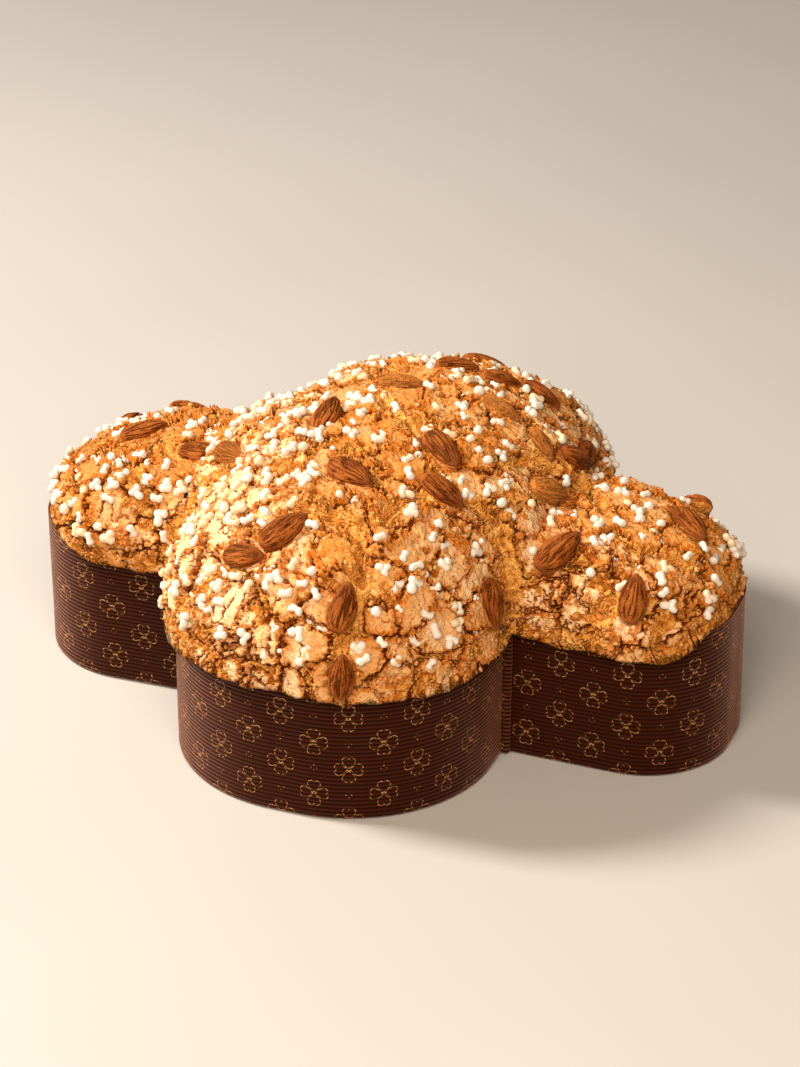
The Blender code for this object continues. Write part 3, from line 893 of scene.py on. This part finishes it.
def make_lumps(name, centres, frames, core, radius, waist, bend, uneven, shape, material, fields):
    """Many small lumps in one mesh, each a ball or two balls that have run together.

    Two caps of a ball's radius stand apart by twice the core.  A bell curve
    pulls in the waist between them, and the axis bends as a square.
    """
    rings, sides = shape
    angle = np.linspace(0.0, math.pi, rings + 2)[None, 1:-1, None]
    around = round_angles(sides)
    core, radius, waist, bend = (value[:, None, None] for value in (core, radius, waist, bend))
    x = -radius * np.cos(angle) - core * np.sign(np.round(np.cos(angle), 6))
    ring = radius * np.sin(angle) * (1.0 - waist * np.exp(-((x / (0.5 * radius)) ** 2))) * uneven
    arch = bend * (x / (core + radius)) ** 2
    local = points_of(x, ring * np.cos(around) + arch, ring * np.sin(around))
    local = local.reshape(len(centres), -1, 3)
    tips = np.zeros((len(centres), 2, 3))
    tips[:, 0, 0], tips[:, 1, 0] = -(core + radius)[:, 0, 0], (core + radius)[:, 0, 0]
    tips[:, :, 1] = bend[:, :, 0]
    local = np.concatenate([local, tips], axis=1)
    points = np.einsum("nij,nvj->nvi", frames, local) + centres[:, None, :]
    each = points.shape[1]
    shift = (np.arange(len(centres)) * each)[:, None, None]
    quads, caps = sphere_faces(rings, sides)
    faces = [(quads + shift).reshape(-1, 4), (caps + shift).reshape(-1, 3)]
    spread = {label: np.repeat(values, each) for label, values in fields.items()}
    return add_piece(name, points.reshape(-1, 3), faces, material, fields=spread)


def sugar_places(generator, count):
    """Seats of the sugar on the glaze: in loose groups, denser on the lit flank, never too close."""
    surface = crust_surface()
    points, normal = surface["points"].reshape(-1, 3), surface["smooth_normal"].reshape(-1, 3)
    lit = smoothstep(-(surface["smooth_normal"] @ CAMERA_RIGHT), 0.0, 0.6)
    above = smoothstep(surface["smooth_normal"][..., 2], -0.1, 0.3)
    grouped = 0.15 + smoothstep(soft_noise(surface["points"], 13.0, 81), -0.2, 0.3)
    chance = (surface["cover"] + 0.03) * grouped * (1.0 + 0.8 * lit) * above * (surface["share"] < 0.988)
    kept = []
    for seat in scattered_points(generator, chance, 6 * count):
        if len(kept) < count and (
                not kept or np.linalg.norm(points[kept] - points[seat], axis=1).min() > PEARL_SPACING):
            kept.append(seat)
    return points[kept], normal[kept]


def make_sugar(count, material):
    """Pearl sugar: one, two or three balls run together, half sunk in the glaze.

    A pair is one lump with a waist.  The third ball leans against its side.
    """
    generator = np.random.default_rng(11)
    seat, normal = sugar_places(generator, count)
    number = len(seat)
    balls = generator.choice([1, 2, 3], number, p=BALL_SHARES)
    radius = generator.uniform(*BALL_RADIUS, number)
    radius = np.where(generator.random(number) < 0.12, radius * generator.uniform(0.45, 0.75, number), radius)
    apart = generator.uniform(0.36, 0.62, number)
    core = radius * np.where(balls > 1, apart, generator.uniform(0.0, 0.2, number))
    tilt = unit(normal + generator.normal(0.0, 0.2, (number, 3)))
    frames = upright_frames(tilt, generator.uniform(0.0, 2.0 * math.pi, number))
    centres = seat + normal * (radius * generator.uniform(-0.05, 0.4, number))[:, None]
    lit = smoothstep(-(normal @ CAMERA_RIGHT), 0.1, 0.6)
    coat = np.where(generator.random(number) < 0.2 + 0.35 * lit, generator.uniform(0.3, 0.9, number), 0.0)
    bend = radius * np.where(balls > 1, generator.uniform(-0.5, 0.5, number), 0.0)
    waist = np.where(balls > 1, generator.uniform(0.28, 0.42, number), 0.0)
    third = np.nonzero(balls == 3)[0]
    end = generator.choice([-1.0, 1.0], len(third))
    lean = (frames[third, :, 0] * (core[third] * end * generator.uniform(0.2, 1.3, len(third)))[:, None]
            + frames[third, :, 1] * (radius[third] * generator.uniform(1.1, 1.45, len(third)) * end)[:, None])
    centres = np.concatenate([centres, centres[third] + lean])
    frames = np.concatenate([frames, frames[third][:, :, [1, 2, 0]]])
    radius = np.concatenate([radius, radius[third] * generator.uniform(0.75, 1.0, len(third))])
    core = np.concatenate([core, radius[number:] * generator.uniform(0.0, 0.4, len(third))])
    nothing = np.zeros(len(third))
    bend, waist = np.concatenate([bend, nothing]), np.concatenate([waist, nothing])
    coat = np.concatenate([coat, coat[third]])
    uneven = 1.0 + generator.normal(0.0, 0.05, (len(centres), *SUGAR_MESH))
    centres = inside_box(centres, radius * 1.2 + core)
    return make_lumps("pearl_sugar", centres, frames, core, radius, waist, bend, uneven,
                      SUGAR_MESH, material, {"coat": coat})


def make_crumbs(count, material):
    """Crumbs of glaze: small uneven lumps along the cracks and the torn edges."""
    generator = np.random.default_rng(23)
    surface = crust_surface()
    picked = scattered_points(generator, surface["rough"] + 0.06, count)
    seat = surface["points"].reshape(-1, 3)[picked]
    normal = surface["smooth_normal"].reshape(-1, 3)[picked]
    radius = 0.40 + 0.7 * generator.random(count) ** 2
    frames = upright_frames(normal, generator.uniform(0.0, 2.0 * math.pi, count))
    uneven = generator.uniform(0.72, 1.25, (count, *CRUMB_MESH))
    core = radius * generator.uniform(0.0, 0.5, count)
    centres = seat + normal * (radius * generator.uniform(-0.1, 0.5, count))[:, None]
    centres = inside_box(centres, radius * 1.3 + core)
    still = np.zeros(count)
    return make_lumps("glaze_crumbs", centres, frames, core, radius, still, still, uneven,
                      CRUMB_MESH, material, {"tone": generator.random(count)})


# Colours laid over the ones that the sidebar sets
# Painted shade on the up-facing top of the head
HEAD_TOP_SHADE = (0.38, 0.115, 0.015)
FROST = (0.88, 0.61, 0.34)
# Dark pits in the glaze, and painted shade in sunk hollows
PIT_AND_HOLLOW_SHADE = (0.36, 0.085, 0.010)
# Painted highlight on raised crests
CREST_HIGHLIGHT = (0.82, 0.44, 0.14)
STAIN = (0.60, 0.19, 0.026)
LIT_NODULE = (0.74, 0.33, 0.06)
NODULE_DUST = (0.80, 0.46, 0.15)
TORN_GOLD = (0.74, 0.29, 0.048)
# Painted shade at the bottom of the tears
DEEP_TEAR_SHADE = (0.20, 0.042, 0.006)
# Painted shade in hollows, gaps and round the almonds
PAINTED_HOLLOW_SHADE = (0.32, 0.070, 0.009)
# Painted shade along the cracks between flakes and between plates
FLAKE_CRACK_SHADE = (0.28, 0.058, 0.007)
PLATE_CRACK_SHADE = (0.18, 0.034, 0.004)
WARM_SKIN = (0.33, 0.090, 0.015)
SKIN_DUST = (0.43, 0.16, 0.04)
SKIN_TIP = (0.13, 0.042, 0.015)
# Painted shade in the almond's grooves
SKIN_GROOVE_SHADE = (0.060, 0.012, 0.0025)
ALMOND_FILM = (0.40, 0.12, 0.018)
PALE_FILM = (0.54, 0.21, 0.045)
SUGAR_FILM = (0.74, 0.46, 0.20)
GOLDEN_CRUMB = (0.66, 0.36, 0.12)
CRUMB_SHADE = (0.33, 0.10, 0.02)
PAPER_FIBRE = (0.024, 0.0032, 0.0007)
# Painted shade in the grooves between the paper's ribs
PAPER_GROOVE_SHADE = (0.006, 0.0014, 0.0005)
# Painted highlight on the ridges of the folds
FOLD_RIDGE_HIGHLIGHT = (0.09, 0.028, 0.012)
FLOOR_CLOUD = (0.43, 0.40, 0.37)


class Shader:
    """A material being built: its node tree and its object coordinates."""

    def __init__(self, name):
        self.material = bpy.data.materials.new(name)
        self.material.use_nodes = True
        self.tree = self.material.node_tree
        self.tree.nodes.clear()
        self.place = self.add("TexCoord").outputs["Object"]

    def add(self, kind, inputs=None, **settings):
        """Add a node; each input is a value, or another node's result to link."""
        node = self.tree.nodes.new("ShaderNode" + kind)
        for label, value in settings.items():
            setattr(node, label, value)
        for label, value in (inputs or {}).items():
            value = getattr(value, "socket", value)
            if isinstance(value, bpy.types.NodeSocket):
                self.tree.links.new(value, node.inputs[label])
            else:
                node.inputs[label].default_value = value
        return node

    def result(self, kind, output, inputs=None, **settings):
        """Add a node and take one of its outputs."""
        return Value(self, self.add(kind, inputs, **settings).outputs[output])

    def calculate(self, operation, *values):
        """One Math node's result."""
        return self.result("Math", 0, dict(enumerate(values)), operation=operation)

    def hypotenuse(self, first, second):
        """Root of the sum of two squares."""
        return self.calculate("SQRT", first ** 2.0 + second ** 2.0)

    def field(self, name):
        """A number stored on the mesh."""
        return self.result("Attribute", "Fac", attribute_name=name)

    def noise(self, per_metre, detail=2.0, roughness=0.5):
        """Noise with so many lumps to the metre."""
        return self.result("TexNoise", 0, {"Vector": self.place, "Scale": per_metre,
                                           "Detail": detail, "Roughness": roughness})

    def blend(self, share, first, second):
        """Mix of two colours, each three numbers or a result."""
        first, second = (colour if isinstance(colour, Value) else (*colour, 1.0)
                         for colour in (first, second))
        return self.result("Mix", 2, {0: share, 6: first, 7: second}, data_type="RGBA")

    def paint(self, colour, *layers):
        """A first colour with layers over it, each with its share."""
        for share, layer in layers:
            colour = self.blend(share, colour, layer)
        return colour

    def finish(self, inputs, bump=None, strength=0.0, distance=0.0):
        """Close the material with one principled shader, with a bump where one is given."""
        if bump is not None:
            relief = self.add("Bump", {"Strength": strength, "Distance": distance, "Height": bump})
            inputs = {**inputs, "Normal": relief.outputs[0]}
        surface = self.add("BsdfPrincipled", inputs)
        self.add("OutputMaterial", {"Surface": surface.outputs[0]})
        return self.material


class Value:
    """A result inside a material.  Arithmetic on it adds the Math nodes for it."""

    def __init__(self, shader, socket):
        self.shader, self.socket = shader, socket

    def __add__(self, other):
        return self.shader.calculate("ADD", self, other)

    def __sub__(self, other):
        return self.shader.calculate("SUBTRACT", self, other)

    def __rsub__(self, other):
        return self.shader.calculate("SUBTRACT", other, self)

    def __mul__(self, other):
        return self.shader.calculate("MULTIPLY", self, other)

    def __truediv__(self, other):
        return self.shader.calculate("DIVIDE", self, other)

    def __pow__(self, other):
        return self.shader.calculate("POWER", self, other)

    def __abs__(self):
        return self.shader.calculate("ABSOLUTE", self)

    def ramp(self, low, high, start=0.0, end=1.0):
        """Rise smoothly from start to end while the value goes from low to high."""
        inputs = {"Value": self, "From Min": low, "From Max": high, "To Min": start, "To Max": end}
        return self.shader.result("MapRange", 0, inputs, interpolation_type="SMOOTHSTEP")


def crust_material(settings):
    """Baked crust: pale sugar glaze on plates, orange-brown nodules, and golden torn crumb, with painted
    shade in cracks, hollows and tears and painted highlights on crests.
    """
    shader = Shader("baked_crust")
    slow, middling = shader.noise(28.0), shader.noise(180.0, 3.0)
    fine, sand = shader.noise(620.0, 3.0, 0.6), shader.noise(1250.0, 3.0, 0.75)
    tone, edge, swing, glaze, crumb = map(shader.field, ("tone", "edge", "swing", "glaze", "crumb"))
    # Tone holds the plates' random tones and painted light: it is low on the flank towards the key light, so
    # the glaze there is painted paler, with more frost
    mottled = tone * 0.85 + slow.ramp(0.35, 0.65, -0.1, 0.25)
    coated = shader.paint(
        shader.blend(mottled, settings.glaze_colour, settings.glaze_shade),
        # painted shade on the head's top, where tone passes one
        (tone.ramp(1.0, 1.4, 0.0, 0.7), HEAD_TOP_SHADE),
        (tone.ramp(0.0, 0.7, 0.85, 0.1) * middling.ramp(0.42, 0.56), FROST),
        (shader.noise(720.0, 1.0).ramp(0.65, 0.69) * tone.ramp(0.0, 0.6, 0.4, 0.9), PIT_AND_HOLLOW_SHADE),
        # painted highlight on raised crests
        (swing.ramp(0.05, 0.7, 0.0, 0.4) * tone.ramp(0.6, 1.0, 1.0, 0.35), CREST_HIGHLIGHT),
        (fine.ramp(0.58, 0.68) * tone.ramp(0.0, 0.6, 0.2, 0.45), STAIN),
    )
    browned = shader.blend(fine.ramp(0.44, 0.70), settings.edge_colour, coated)
    coated = shader.blend(edge, coated, browned)
    bare = shader.paint(
        settings.nodule_colour,
        (shader.field("crest") * middling.ramp(0.3, 0.6, 0.4, 1.0), LIT_NODULE),
        (fine.ramp(0.52, 0.66, 0.0, 0.6), NODULE_DUST),
    )
    patch = glaze + fine.ramp(0.35, 0.65, -0.3, 0.3)
    torn = shader.paint(
        # painted shade deep in the tears
        settings.crumb_colour, (middling.ramp(0.35, 0.65), TORN_GOLD), (shader.field("deep"), DEEP_TEAR_SHADE))
    closed = (1.0 - crumb * 0.75) * glaze.ramp(0.0, 1.0, 1.0, 0.7)
    ragged = (fine - 0.5) + (sand - 0.5)
    plate_crack = (shader.field("plate_line") + ragged).ramp(0.0, 0.3, 1.0, 0.0)
    flake_crack = (shader.field("flake_line") + ragged).ramp(-0.02, 0.2, 0.85, 0.0)
    colour = shader.paint(
        bare,
        (patch.ramp(0.3, 0.6), coated),
        (crumb, torn),
        # painted shade in sunk hollows
        (swing.ramp(-0.05, -0.75, 0.0, 0.8) * closed, PIT_AND_HOLLOW_SHADE),
        # painted shade in gaps, hollows and round the almonds
        (shader.field("cavity_shade") * closed, PAINTED_HOLLOW_SHADE),
        # the cracks are painted dark as shade
        (flake_crack, FLAKE_CRACK_SHADE),
        (plate_crack, PLATE_CRACK_SHADE),
    )
    chips = shader.result("TexVoronoi", "Distance", {"Vector": shader.place, "Scale": 850.0})
    chipped = (1.15 - glaze) + edge * 0.5
    crack = shader.calculate("MAXIMUM", plate_crack, flake_crack)
    relief = sand * 0.3 + fine * 0.9 - chips * (chipped * 0.6) - crack * 0.5
    inputs = {
        "Base Color": colour,
        "Roughness": fine.ramp(0.3, 0.7, 0.6, 0.8),
        "Specular IOR Level": 0.12,
        "Specular Tint": (1.0, 0.72, 0.45, 1.0),
    }
    return shader.finish(inputs, relief, 1.0, 0.0018)


def almond_material(settings):
    """Roasted almond skin: red-brown ridges, grooves painted dark as shade, pale dust, and glaze on some."""
    shader = Shader("almond_skin")
    groove, coat, along = map(shader.field, ("groove", "coat", "along"))
    fine, patches = shader.noise(1500.0, 3.0, 0.6), shader.noise(130.0)
    # Painted shade in the grooves
    hollow_shade = (groove + fine.ramp(0.3, 0.7, -0.06, 0.06)).ramp(0.02, 0.19, 0.85, 0.0)
    film = shader.blend(fine.ramp(0.35, 0.6), ALMOND_FILM, PALE_FILM)
    colour = shader.paint(
        settings.almond_colour,
        (patches.ramp(0.35, 0.65), WARM_SKIN),
        (fine.ramp(0.58, 0.74, 0.0, 0.4), SKIN_DUST),
        (along.ramp(0.80, 1.0, 0.0, 0.55), SKIN_TIP),
        (hollow_shade, SKIN_GROOVE_SHADE),
        (coat * fine.ramp(0.3, 0.6, 0.6, 1.0), film),
    )
    inputs = {
        "Base Color": colour,
        "Roughness": fine.ramp(0.3, 0.7, 0.45, 0.65),
        "Specular IOR Level": 0.13,
        "Specular Tint": (1.0, 0.70, 0.45, 1.0),
    }
    return shader.finish(inputs, fine - hollow_shade * 0.8, 0.8, 0.0008)


def sugar_material(settings):
    """Pearl sugar: matt white, with a film of brown glaze on some."""
    shader = Shader("white_sugar")
    coat, fine = shader.field("coat"), shader.noise(1300.0)
    colour = shader.blend(coat * fine.ramp(0.3, 0.6, 0.5, 1.0), settings.sugar_colour, SUGAR_FILM)
    inputs = {"Base Color": colour, "Roughness": fine.ramp(0.3, 0.7, 0.40, 0.60)}
    return shader.finish(inputs, fine, 0.2, 0.0003)


def crumb_material(settings):
    """Crumbs of baked glaze, from golden to orange-brown."""
    shader = Shader("glaze_crumb")
    fine = shader.noise(1100.0)
    colour = shader.paint(settings.nodule_colour, (shader.field("tone"), GOLDEN_CRUMB),
                          (fine.ramp(0.3, 0.7, 0.0, 0.4), CRUMB_SHADE))
    inputs = {"Base Color": colour, "Roughness": fine.ramp(0.3, 0.7, 0.5, 0.7)}
    return shader.finish(inputs, fine, 0.5, 0.0005)


def nearest_print(shader, across, up, shift):
    """The longer and the shorter way to the nearest point of a lattice of diamonds.

    Both coordinates are folded onto one diamond.  Where their shares of the
    spacing add up to more than one, the point in the middle is nearer.
    """
    u = shader.calculate("PINGPONG", across + shift, COLUMN_SPACING)
    v = shader.calculate("PINGPONG", up, HALF_REPEAT)
    other = shader.calculate("GREATER_THAN", u / COLUMN_SPACING + v / HALF_REPEAT, 1.0)
    u, v = (shader.result("Mix", 0, {0: other, 2: way, 3: spacing - way})
            for way, spacing in ((u, COLUMN_SPACING), (v, HALF_REPEAT)))
    return shader.calculate("MAXIMUM", u, v), shader.calculate("MINIMUM", u, v)


def case_material(settings):
    """Chocolate brown ribbed paper with a gold print of outlined blossoms and dots.

    A petal is an ellipse with its end pulled in to a notch, folded four times
    round the middle.  A line is where the ellipse's own measure is near one.
    """
    shader = Shader("ribbed_paper")
    place = shader.add("SeparateXYZ", {0: shader.add("UVMap", uv_map="surface").outputs[0]})
    across, up = (Value(shader, place.outputs[axis]) * (1.0 / MM) for axis in (0, 1))
    fold = shader.field("fold")
    outside = shader.calculate("MAXIMUM", shader.calculate("LESS_THAN", up, WALL_HEIGHT + 0.5) - fold, 0.0)
    long_way, short_way = nearest_print(shader, across, up, -FIRST_BLOSSOM + 40.0 * COLUMN_SPACING)
    notch = short_way.ramp(0.0, 0.9, 1.0, 0.0) * long_way.ramp(3.6, 5.0, 0.0, 0.95)
    length = (long_way + notch - PETAL_MIDDLE) / PETAL_HALF_LENGTH
    width = short_way / shader.calculate("MULTIPLY_ADD", long_way, 0.38, 1.2)
    petal = abs(shader.hypotenuse(length, width) - 1.0).ramp(0.02, 0.075, 1.0, 0.0)
    eye = abs(shader.hypotenuse(long_way, short_way) - EYE_RADIUS).ramp(0.12, 0.24, 1.0, 0.0)
    long_way, short_way = nearest_print(shader, across, up, -FIRST_BLOSSOM + 41.0 * COLUMN_SPACING)
    dots = shader.hypotenuse(long_way - DOT_FROM_MIDDLE, short_way).ramp(0.18, 0.34, 0.6, 0.0)
    drawn = shader.calculate("MAXIMUM", shader.calculate("MAXIMUM", petal, eye), dots)
    # Ridges of the ribs, from the height on the wall
    ridge = shader.calculate("PINGPONG", up, RIB_PITCH / 2.0).ramp(0.12, 0.62)
    worn = shader.noise(1400.0, 3.0).ramp(0.38, 0.56, 0.25, 1.0)
    # The print is worn at random and fades into the grooves as painted shade
    ink = (drawn * outside) * (worn * ridge.ramp(0.2, 1.0, 0.1, 1.0))
    fibre = shader.noise(1700.0, 3.0, 0.6)
    colour = shader.paint(
        settings.paper_colour,
        (fibre.ramp(0.3, 0.7), PAPER_FIBRE),
        # painted shade in the grooves between the ribs
        ((1.0 - ridge) * 0.9, PAPER_GROOVE_SHADE),
        # painted highlight on the ridges of the fold
        (fold * ridge.ramp(0.5, 1.0, 0.0, 0.7), FOLD_RIDGE_HIGHLIGHT),
        (ink, settings.print_colour),
    )
    inputs = {
        "Base Color": colour,
        "Metallic": ink * 0.75,
        "Roughness": 0.40,
        "Specular IOR Level": 0.15,
        "Specular Tint": (1.0, 0.42, 0.22, 1.0),
        "Sheen Weight": 0.4,
        "Sheen Roughness": 0.4,
        "Sheen Tint": (1.0, 0.42, 0.25, 1.0),
    }
    return shader.finish(inputs, fibre, 0.2, 0.0002)


def floor_material(settings):
    """Plain pale floor, slightly uneven in gloss."""
    shader = Shader("pale_floor")
    cloud = shader.noise(3.0)
    colour = shader.blend(cloud.ramp(0.3, 0.7), settings.floor_colour, FLOOR_CLOUD)
    return shader.finish({"Base Color": colour, "Roughness": cloud.ramp(0.3, 0.7, 0.55, 0.65)})


# Camera and lights; the directions are the camera's own, on the floor
CAMERA_PLACE = (0.4335, -1.2228, 0.750)
CAMERA_PITCH = 27.74
CAMERA_HEADING = 19.318
CAMERA_LENS = 159.975
SENSOR_WIDTH = 36.0
FLOOR_RADIUS = 7.0
FLOOR_SIDES = 96
FLOOR_GAP = 0.0002

# Lights: to the camera's right, forward and up, and the size, in metres
KEY_LIGHT = (-1.15, 0.22, 1.08, 0.34)
KEY_COLOUR = (1.0, 0.94, 0.86)
FILL_LIGHT = (-0.1, -1.25, 1.15, 1.2)
FILL_COLOUR = (1.0, 0.86, 0.70)
ROOM_COLOUR = (1.0, 0.90, 0.80, 1.0)
LIGHTS_LOOK_AT = (0.0, 0.0, 0.05)


def add_light(name, side, back, height, size, power, colour, glossy):
    """A round soft light at a place given by the camera's right, its way forward, and up."""
    data = bpy.data.lights.new(name, "AREA")
    data.shape = "DISK"
    data.size = size
    data.energy = power
    data.color = colour
    item = bpy.data.objects.new(name, data)
    forward = np.array([-CAMERA_RIGHT[1], CAMERA_RIGHT[0], 0.0])
    place = Vector(CAMERA_RIGHT * side + forward * back + np.array([0.0, 0.0, height]))
    item.location = place
    item.rotation_euler = (Vector(LIGHTS_LOOK_AT) - place).to_track_quat("-Z", "Y").to_euler()
    item.visible_glossy = glossy
    bpy.context.scene.collection.objects.link(item)


def make_stage(settings):
    """Pale floor, a soft key light from the left, a broad fill from the front, and the camera."""
    turn = round_angles(FLOOR_SIDES)
    mesh = bpy.data.meshes.new("floor")
    edge = points_of(FLOOR_RADIUS * np.cos(turn), FLOOR_RADIUS * np.sin(turn), -FLOOR_GAP)
    mesh.from_pydata(edge.tolist(), [], [list(range(FLOOR_SIDES))])
    mesh.materials.append(floor_material(settings))
    floor = bpy.data.objects.new("floor", mesh)
    bpy.context.scene.collection.objects.link(floor)
    add_light("key_light", *KEY_LIGHT, settings.key_power, KEY_COLOUR, True)
    add_light("fill_light", *FILL_LIGHT, settings.fill_power, FILL_COLOUR, False)
    world = bpy.data.worlds.new("studio")
    world.use_nodes = True
    background = world.node_tree.nodes["Background"]
    background.inputs["Color"].default_value = ROOM_COLOUR
    background.inputs["Strength"].default_value = settings.room_strength
    bpy.context.scene.world = world
    data = bpy.data.cameras.new("camera")
    data.sensor_fit = "HORIZONTAL"
    data.sensor_width = SENSOR_WIDTH
    data.lens = CAMERA_LENS
    data.clip_end = 30.0
    camera = bpy.data.objects.new("camera", data)
    camera.location = CAMERA_PLACE
    camera.rotation_euler = (math.radians(90.0 - CAMERA_PITCH), 0.0, math.radians(CAMERA_HEADING))
    bpy.context.scene.collection.objects.link(camera)
    bpy.context.scene.camera = camera
    bpy.context.scene.view_settings.view_transform = "Standard"


def colour_setting(name, description, default):
    """A colour that the sidebar shows."""
    return FloatVectorProperty(name=name, description=description, default=default, size=3,
                               subtype="COLOR", min=0.0, max=1.0)


class DoveCakeSettings(bpy.types.PropertyGroup):
    """Sizes, amounts and colours of the cake and its stage."""

    pearl_count: IntProperty(name="Sugar pearls", description="Number of lumps of sugar", default=490, min=1)
    crumb_count: IntProperty(name="Crumbs", description="Number of glaze crumbs", default=2400, min=1)
    # The crust blends these two by tone, which also carries painted light: the glaze is painted palest on the
    # flank towards the key light
    glaze_colour: colour_setting("Glaze", "Palest glaze on the plates", (0.86, 0.58, 0.31))
    glaze_shade: colour_setting("Glaze shade", "Deeper glaze on the plates", (0.60, 0.225, 0.042))
    edge_colour: colour_setting("Plate edges", "Browned edges of the plates", (0.54, 0.145, 0.014))
    nodule_colour: colour_setting("Nodules", "Browned nodules between the plates", (0.46, 0.125, 0.012))
    crumb_colour: colour_setting("Torn crumb", "Crumb inside the splits", (0.86, 0.42, 0.105))
    almond_colour: colour_setting("Almond", "Skin of the almonds", (0.21, 0.048, 0.0075))
    sugar_colour: colour_setting("Sugar", "Pearl sugar", (0.66, 0.575, 0.475))
    paper_colour: colour_setting("Paper", "Ribbed paper of the case", (0.029, 0.0030, 0.0005))
    print_colour: colour_setting("Print", "Gold print on the case", (0.74, 0.38, 0.14))
    floor_colour: colour_setting("Floor", "Studio floor", (0.46, 0.43, 0.40))
    key_power: FloatProperty(name="Key light", description="Power of the key light", default=45.0, min=0.0,
                             unit="POWER")
    fill_power: FloatProperty(name="Fill light", description="Power of the fill light", default=39.0, min=0.0,
                              unit="POWER")
    room_strength: FloatProperty(name="Room light", description="Strength of the light all round",
                                 default=0.12, min=0.0)


class DOVECAKE_OT_crust(bpy.types.Operator):
    """Build the four lobes of the baked crust"""

    bl_idname = "dove_cake.crust"
    bl_label = "Crust"

    def execute(self, context):
        material = crust_material(context.scene.dove_cake)
        for quarter in range(4):
            make_crust_lobe(quarter, material)
        return {"FINISHED"}


class DOVECAKE_OT_almonds(bpy.types.Operator):
    """Build the whole almonds in their places"""

    bl_idname = "dove_cake.almonds"
    bl_label = "Almonds"

    def execute(self, context):
        material = almond_material(context.scene.dove_cake)
        for number, node in enumerate(ALMOND_SEATS, start=1):
            make_almond(number, node, material)
        return {"FINISHED"}


class DOVECAKE_OT_sugar(bpy.types.Operator):
    """Scatter the pearl sugar on the glaze"""

    bl_idname = "dove_cake.sugar"
    bl_label = "Pearl sugar"

    def execute(self, context):
        settings = context.scene.dove_cake
        make_sugar(settings.pearl_count, sugar_material(settings))
        return {"FINISHED"}


class DOVECAKE_OT_crumbs(bpy.types.Operator):
    """Scatter crumbs of glaze along the cracks"""

    bl_idname = "dove_cake.crumbs"
    bl_label = "Glaze crumbs"

    def execute(self, context):
        settings = context.scene.dove_cake
        make_crumbs(settings.crumb_count, crumb_material(settings))
        return {"FINISHED"}


class DOVECAKE_OT_case(bpy.types.Operator):
    """Build the ribbed paper case with its print"""

    bl_idname = "dove_cake.case"
    bl_label = "Paper case"

    def execute(self, context):
        make_paper_case(case_material(context.scene.dove_cake))
        return {"FINISHED"}


class DOVECAKE_OT_stage(bpy.types.Operator):
    """Set up the floor, the lights and the camera"""

    bl_idname = "dove_cake.stage"
    bl_label = "Stage"

    def execute(self, context):
        make_stage(context.scene.dove_cake)
        return {"FINISHED"}


class DOVECAKE_PT_sidebar(bpy.types.Panel):
    """Sizes and colours, and one button for each group of pieces"""

    bl_label = "Festive Dove Cake"
    bl_idname = "DOVECAKE_PT_sidebar"
    bl_space_type = "VIEW_3D"
    bl_region_type = "UI"
    bl_category = "Cake"

    def draw(self, context):
        settings = context.scene.dove_cake
        for name in settings.bl_rna.properties.keys():
            if name not in ("rna_type", "name"):
                self.layout.prop(settings, name)
        for operator in OPERATORS:
            self.layout.operator(operator.bl_idname)


OPERATORS = (
    DOVECAKE_OT_crust,
    DOVECAKE_OT_case,
    DOVECAKE_OT_almonds,
    DOVECAKE_OT_sugar,
    DOVECAKE_OT_crumbs,
    DOVECAKE_OT_stage,
)
CLASSES = (DoveCakeSettings, *OPERATORS, DOVECAKE_PT_sidebar)


def register():
    """Make the classes and the scene's settings known to Blender."""
    for item in CLASSES:
        bpy.utils.register_class(item)
    bpy.types.Scene.dove_cake = PointerProperty(type=DoveCakeSettings)


def unregister():
    """Take the settings and the classes away again."""
    del bpy.types.Scene.dove_cake
    for item in reversed(CLASSES):
        bpy.utils.unregister_class(item)


def main():
    """Build everything in order."""
    register()
    bpy.ops.dove_cake.crust()
    bpy.ops.dove_cake.case()
    bpy.ops.dove_cake.almonds()
    bpy.ops.dove_cake.sugar()
    bpy.ops.dove_cake.crumbs()
    bpy.ops.dove_cake.stage()


if __name__ == "__main__":
    main()
